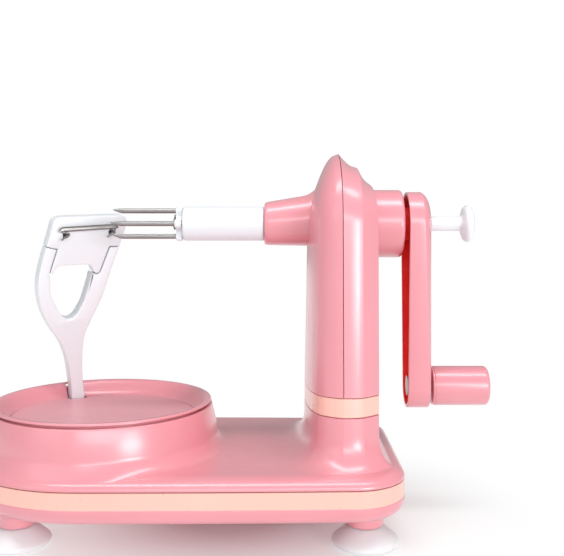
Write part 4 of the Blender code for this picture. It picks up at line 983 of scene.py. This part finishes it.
# The plate's outline is a small disc with a round ear about each prong, softened where they meet.
plate_low, plate_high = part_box("ejector_plate")
plate_r = 4.6 * mm
ear_out = 7.0 * mm
ear_r = 2.55 * mm
lobes = []
for a in full_turn(144):
    off = math.atan2(math.sin(4 * a), math.cos(4 * a)) / 4
    r = plate_r
    if abs(math.sin(off)) * ear_out < ear_r:
        r = max(r, ear_out * math.cos(off) + math.sqrt(ear_r ** 2 - (ear_out * math.sin(off)) ** 2))
    lobes.append((r * math.cos(a), r * math.sin(a)))
for _ in range(2):
    lobes = [((a[0] + 2 * b[0] + c[0]) / 4, (a[1] + 2 * b[1] + c[1]) / 4)
             for a, b, c in zip(lobes[-1:] + lobes[:-1], lobes, lobes[1:] + lobes[:1])]
plate = bmesh.new()
rows = []
for x, inset in ((plate_high.x, 0.4 * mm), (plate_high.x - 0.4 * mm, 0), (plate_low.x + 0.5 * mm, 0),
                 (plate_low.x, 0.5 * mm)):
    shares = [1 - inset / math.hypot(y, z) for y, z in lobes]
    rows.append([(x, y * share, shaft_z + z * share) for (y, z), share in zip(lobes, shares)])
skin_between(plate, rows, caps=True)
plate_obj = piece("ejector_plate_fine", plate, "ejector", [white_satin], ["ejector_plate"])
holes = [(y, z, 1.65 * mm) for name, y, z in prong_places] + [(0, shaft_z, 2.3 * mm)]
for y, z, r in holes:
    drill(plate_obj, (y, z), r, plate_low.x - mm, plate_high.x + mm, steps=24)

clip = bmesh.new()
clip_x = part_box("ejector_clip")[0].x + 0.5 * mm
clip_r = 3.0
circle = []
for k in range(41):
    a = math.radians(70 - 320 * k / 40)
    circle.append((0, clip_r * math.cos(a), clip_r * math.sin(a)))
curl = []
for k in range(15):
    a = math.radians(200 - 26 * k)
    curl.append((0.6 * k / 14 - 0.3, 1.0 + 0.9 * math.sin(a), clip_r + 0.9 * (1 + math.cos(a))))
wire(clip, from_point((clip_x, 0, shaft_z), circle), (0.38 * mm, 0.38 * mm), 10)
wire(clip, from_point((clip_x, 0, shaft_z), curl), (0.34 * mm, 0.34 * mm), 10)
piece("ejector_clip_fine", clip, "ejector", [dark_steel], ["ejector_clip"], angle=50)


# ---------------------------------------------------------------- crank arm
# One hollow pink moulding, open towards the column. Its outer edge is broken by a rounded bevel that is
# wide at the hub and narrows to the handle, and inside stand a hub tube and a boss for the handle pin.

crank_low, crank_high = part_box("crank_arm")
pin_low, pin_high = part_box("handle_pin")
crank_r = shaft_z - (pin_low.z + pin_high.z) / 2
pin_z = shaft_z - crank_r
hub_end_r = (crank_high.y - crank_low.y) / 2
grip_end_r = 11.8 * mm
pin_hole_r = 3.3 * mm
# Painted shade: the inside of the hollow is pink plastic, coloured deep red to stand for the shade and pink
# inter-reflection deep in it.
hollow_painted_shade = plastic("pink_hollow_painted_shade", (0.95, 0.010, 0.006), (0.85, 0.006, 0.004), 0.6)


def side_points(a, b, steps=12):
    return [(a[0] + (b[0] - a[0]) * k / steps, a[1] + (b[1] - a[1]) * k / steps) for k in range(1, steps)]


def crank_outline(hub_inset, grip_inset):
    """Two round ends joined by straight sides, as (y, z) about the shaft."""
    big = hub_end_r - hub_inset
    small = grip_end_r - grip_inset
    lean = math.degrees(math.asin((big - small) / crank_r))
    top = corner((0, shaft_z), big, -lean, 180 + lean, 48)
    bottom = corner((0, pin_z), small, 180 + lean, 360 - lean, 36)
    return top + side_points(top[-1], bottom[0]) + bottom + side_points(bottom[-1], top[0])


def crank_row(hub_inset, grip_inset, x_of):
    """Outline drawn in by millimetres at each end; x_of gives x for the share of the way down the arm."""
    row = []
    for y, z in crank_outline(hub_inset * mm, grip_inset * mm):
        t = min(1.0, max(0.0, (shaft_z - z) / crank_r))
        row.append((x_of(t) * mm, y, z))
    return row


def bevel_x(t, share):
    crease = 104.0 + 3.6 * t
    return crease + (crank_high.x / mm - crease) * share


# (hub inset, grip inset, x) in millimetres: the hollow from its floor to the rim, then the outer side.
crank_hollow = [(10.5, 6.0, 105.9), (7.5, 4.2, 105.9), (5.2, 3.4, 105.4), (4.0, 3.0, 104.6),
                (2.6, 2.4, 102.6), (2.4, 2.3, 100.0), (2.0, 1.9, 96.5), (1.7, 1.6, 96.1)]
crank_side = [(1.3, 1.3, 96.0), (0.3, 0.3, 96.0), (0.05, 0.05, 96.2), (0, 0, 96.5), (0, 0, 100.0)]
bevel_start = math.radians(24)
bevel_steps = 10
crank = bmesh.new()
rows = [crank_row(at_hub, at_grip, lambda t: x) for at_hub, at_grip, x in crank_hollow + crank_side]
rows.append(crank_row(0, 0, lambda t: bevel_x(t, 0) - 0.35))
for k in range(bevel_steps + 1):
    a = bevel_start + (math.pi / 2 - bevel_start) * k / bevel_steps
    share = (math.sin(a) - math.sin(bevel_start)) / (1 - math.sin(bevel_start))
    drop = (math.cos(bevel_start) - math.cos(a)) / math.cos(bevel_start)
    rows.append(crank_row(0.06 + 8.6 * drop, 0.06 + 2.6 * drop, lambda t: bevel_x(t, share)))
rows.append(crank_row(10.5, 5.0, lambda t: crank_high.x / mm))
made = skin_between(crank, rows, caps=True)
# The faces inside the hollow take the painted shade.
inside = {v for row in made[:len(crank_hollow)] for v in row}
for face in crank.faces:
    if all(v in inside for v in face.verts):
        face.material_index = 1
crank_obj = piece("crank_arm_fine", crank, "spindle", [pink_gloss, hollow_painted_shade], ["crank_arm"],
                  angle=28)
for z, r in ((shaft_z, stem_r + 0.4 * mm), (pin_z, pin_hole_r)):
    drill(crank_obj, (0, z), r, 95 * mm, 112 * mm)

# The hub tube and the pin boss stand in the hollow and take the same painted shade, though they are pink
# plastic.
hub = bmesh.new()
outline = from_point((0, 0), [(6.5, 94.3), (8.6, 94.3), (8.8, 94.5), (9.2, 106.2), (6.3, 106.2), (6.3, 94.5)])
turn(hub, outline, 64, shaft_axis, "X")
piece("crank_hub_tube", hub, "spindle", [hollow_painted_shade], ["crank_arm"])
pin_boss = bmesh.new()
outline = from_point((0, 0), [(3.3, 98.4), (6.3, 98.4), (6.5, 98.6), (6.7, 106.2), (3.3, 106.2)])
turn(pin_boss, outline, 64, (0, 0, pin_z), "X")
piece("crank_pin_boss", pin_boss, "spindle", [hollow_painted_shade], ["crank_arm"])


# ---------------------------------------------------------------- handle grip
# A pink roller that spins freely on the pin: closed at the outer end with a soft edge, with a small
# stepped collar at the crank end.

grip_low, grip_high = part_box("handle_grip")
grip_r = (grip_high.y - grip_low.y) / 2
grip = bmesh.new()
grip_end = 2.1 * mm
outline = [(pin_hole_r, grip_low.x)]
outline += from_point((grip_r, grip_low.x), [(-0.9, 0), (-0.5, 0.2), (-0.35, 0.5), (-0.35, 1.1), (-0.1, 1.25),
                                             (0, 1.5), (0, 12)])
outline += corner((grip_r - grip_end, grip_high.x - grip_end), grip_end, 0, 90, 8)
outline += [(grip_r * 0.45, grip_high.x), (0, grip_high.x), (0, grip_high.x - 3.5 * mm),
            (pin_hole_r, grip_high.x - 3.5 * mm)]
turn(grip, outline, 128, (0, 0, pin_z), "X")
piece("handle_grip_fine", grip, "grip", [pink_gloss], ["handle_grip"])


# ---------------------------------------------------------------- works and fasteners
# The gears, worm and bushes are matt nylon; shafts, pins, screws, bracket and spring are steel. They
# keep their own geometry and take these finishes.

nylon_matt = plastic("nylon_matt", (0.74, 0.72, 0.66), (0.66, 0.63, 0.56), 0.55, wave=0.12)
works_steel = metal("works_steel", (0.52, 0.51, 0.50), (0.40, 0.39, 0.38), 0.25, 0.45, (1.0, 1.0, 0.08))
nylon_nodes = ["front_bush", "rear_bush", "worm", "worm_wheel", "drive_pinion", "idler_gear",
               "turntable_gear"]
steel_nodes = ["gear_bracket", "turntable_pivot_post", "idler_post", "upright_shaft", "drive_shaft",
               "handle_pin", "arm_pin", "arm_spring", "turntable_screw_1", "turntable_screw_2"]
steel_nodes += ["base_screw_%d" % i for i in (1, 2, 3, 4)]
steel_nodes += ["column_screw_%d" % i for i in (1, 2, 3, 4)]
for names, mat in ((nylon_nodes, nylon_matt), (steel_nodes, works_steel)):
    for name in names:
        for node_slot in nodes[name].material_slots:
            node_slot.material = mat


# ---------------------------------------------------------------- studio
# A plain pale floor that turns into white surroundings, a wide soft strip in front, a bank above for
# the upper edges, and a round light from the right for the pedestal.

def mix_into(tree, factor, first, second, output):
    """Mix two shaders by a factor into the tree's output."""
    mix = tree.nodes.new("ShaderNodeMixShader")
    tree.links.new(factor, mix.inputs["Fac"])
    tree.links.new(first, mix.inputs[1])
    tree.links.new(second, mix.inputs[2])
    tree.links.new(mix.outputs["Shader"], tree.nodes[output].inputs["Surface"])


floor_half = 3.0
floor_mat, tree, paper = new_material("floor_paper")
paper.inputs["Roughness"].default_value = 0.7
paper.inputs["Base Color"].default_value = (0.94, 0.94, 0.94, 1)
where = tree.nodes.new("ShaderNodeTexCoord")
distance = tree.nodes.new("ShaderNodeVectorMath")
distance.operation = "LENGTH"
tree.links.new(where.outputs["Object"], distance.inputs[0])
fade = tree.nodes.new("ShaderNodeMapRange")
fade.inputs["From Min"].default_value = 0.03
fade.inputs["From Max"].default_value = 0.17
tree.links.new(distance.outputs["Value"], fade.inputs["Value"])
glow = tree.nodes.new("ShaderNodeEmission")
mix_into(tree, fade.outputs["Result"], paper.outputs["BSDF"], glow.outputs["Emission"], "Material Output")
floor_mesh = bpy.data.meshes.new("studio_floor")
floor_corners = [(-floor_half, -floor_half, 0), (floor_half, -floor_half, 0), (floor_half, floor_half, 0),
                 (-floor_half, floor_half, 0)]
floor_mesh.from_pydata(floor_corners, [], [(0, 1, 2, 3)])
floor_mesh.materials.append(floor_mat)
floor_obj = add_object("studio_floor", floor_mesh)
floor_obj.location.z = -0.2 * mm

world = bpy.data.worlds.new("white_studio")
bpy.context.scene.world = world
world.use_nodes = True
tree = world.node_tree
room = tree.nodes["Background"]
room.inputs["Color"].default_value = (1.0, 1.0, 1.0, 1)
room.inputs["Strength"].default_value = 0.42
backdrop = tree.nodes.new("ShaderNodeBackground")
backdrop.inputs["Color"].default_value = (1.0, 1.0, 1.0, 1)
backdrop.inputs["Strength"].default_value = 1.0
rays = tree.nodes.new("ShaderNodeLightPath")
mix_into(tree, rays.outputs["Is Camera Ray"], room.outputs["Background"], backdrop.outputs["Background"],
         "World Output")


def soft_light(name, place, aim, width, height, radiance, shape="RECTANGLE"):
    """Area light given by its brightness; it isn't seen itself."""
    data = bpy.data.lights.new(name, "AREA")
    data.shape = shape
    data.size = width
    data.size_y = height
    area = width * height * (math.pi / 4 if shape == "ELLIPSE" else 1)
    data.energy = radiance * math.pi * area
    obj = add_object(name, data)
    obj.location = place
    obj.rotation_euler = (Vector(aim) - Vector(place)).to_track_quat("-Z", "Y").to_euler()
    obj.visible_camera = False


# Name, place, aim, width, height and brightness of each light.
soft_light("front_strip", (0.10, -1.25, 0.42), (0, 0, 0.1), 0.9, 0.16, 8.5)
soft_light("top_bank", (0.0, -0.22, 0.95), (0, 0, 0.05), 1.1, 0.18, 9.5)
soft_light("front_round", (0.63, -0.91, 0.19), (0.0, -0.03, 0.08), 0.40, 0.28, 15.0, "ELLIPSE")
soft_light("left_fill", (-0.75, -0.75, 0.5), (0, 0, 0.08), 0.6, 0.6, 1.0)

camera = add_object("camera", bpy.data.cameras.new("camera"))
camera.location = (0.02805, -0.4532, 0.1579)
camera.rotation_euler = (math.radians(90), 0, 0)
camera.data.sensor_width = 36.0
camera.data.lens = 52.6
camera.data.shift_x = 0.0
camera.data.shift_y = -0.094
camera.data.clip_start = 0.01
bpy.context.scene.camera = camera
bpy.context.scene.view_settings.view_transform = "Standard"
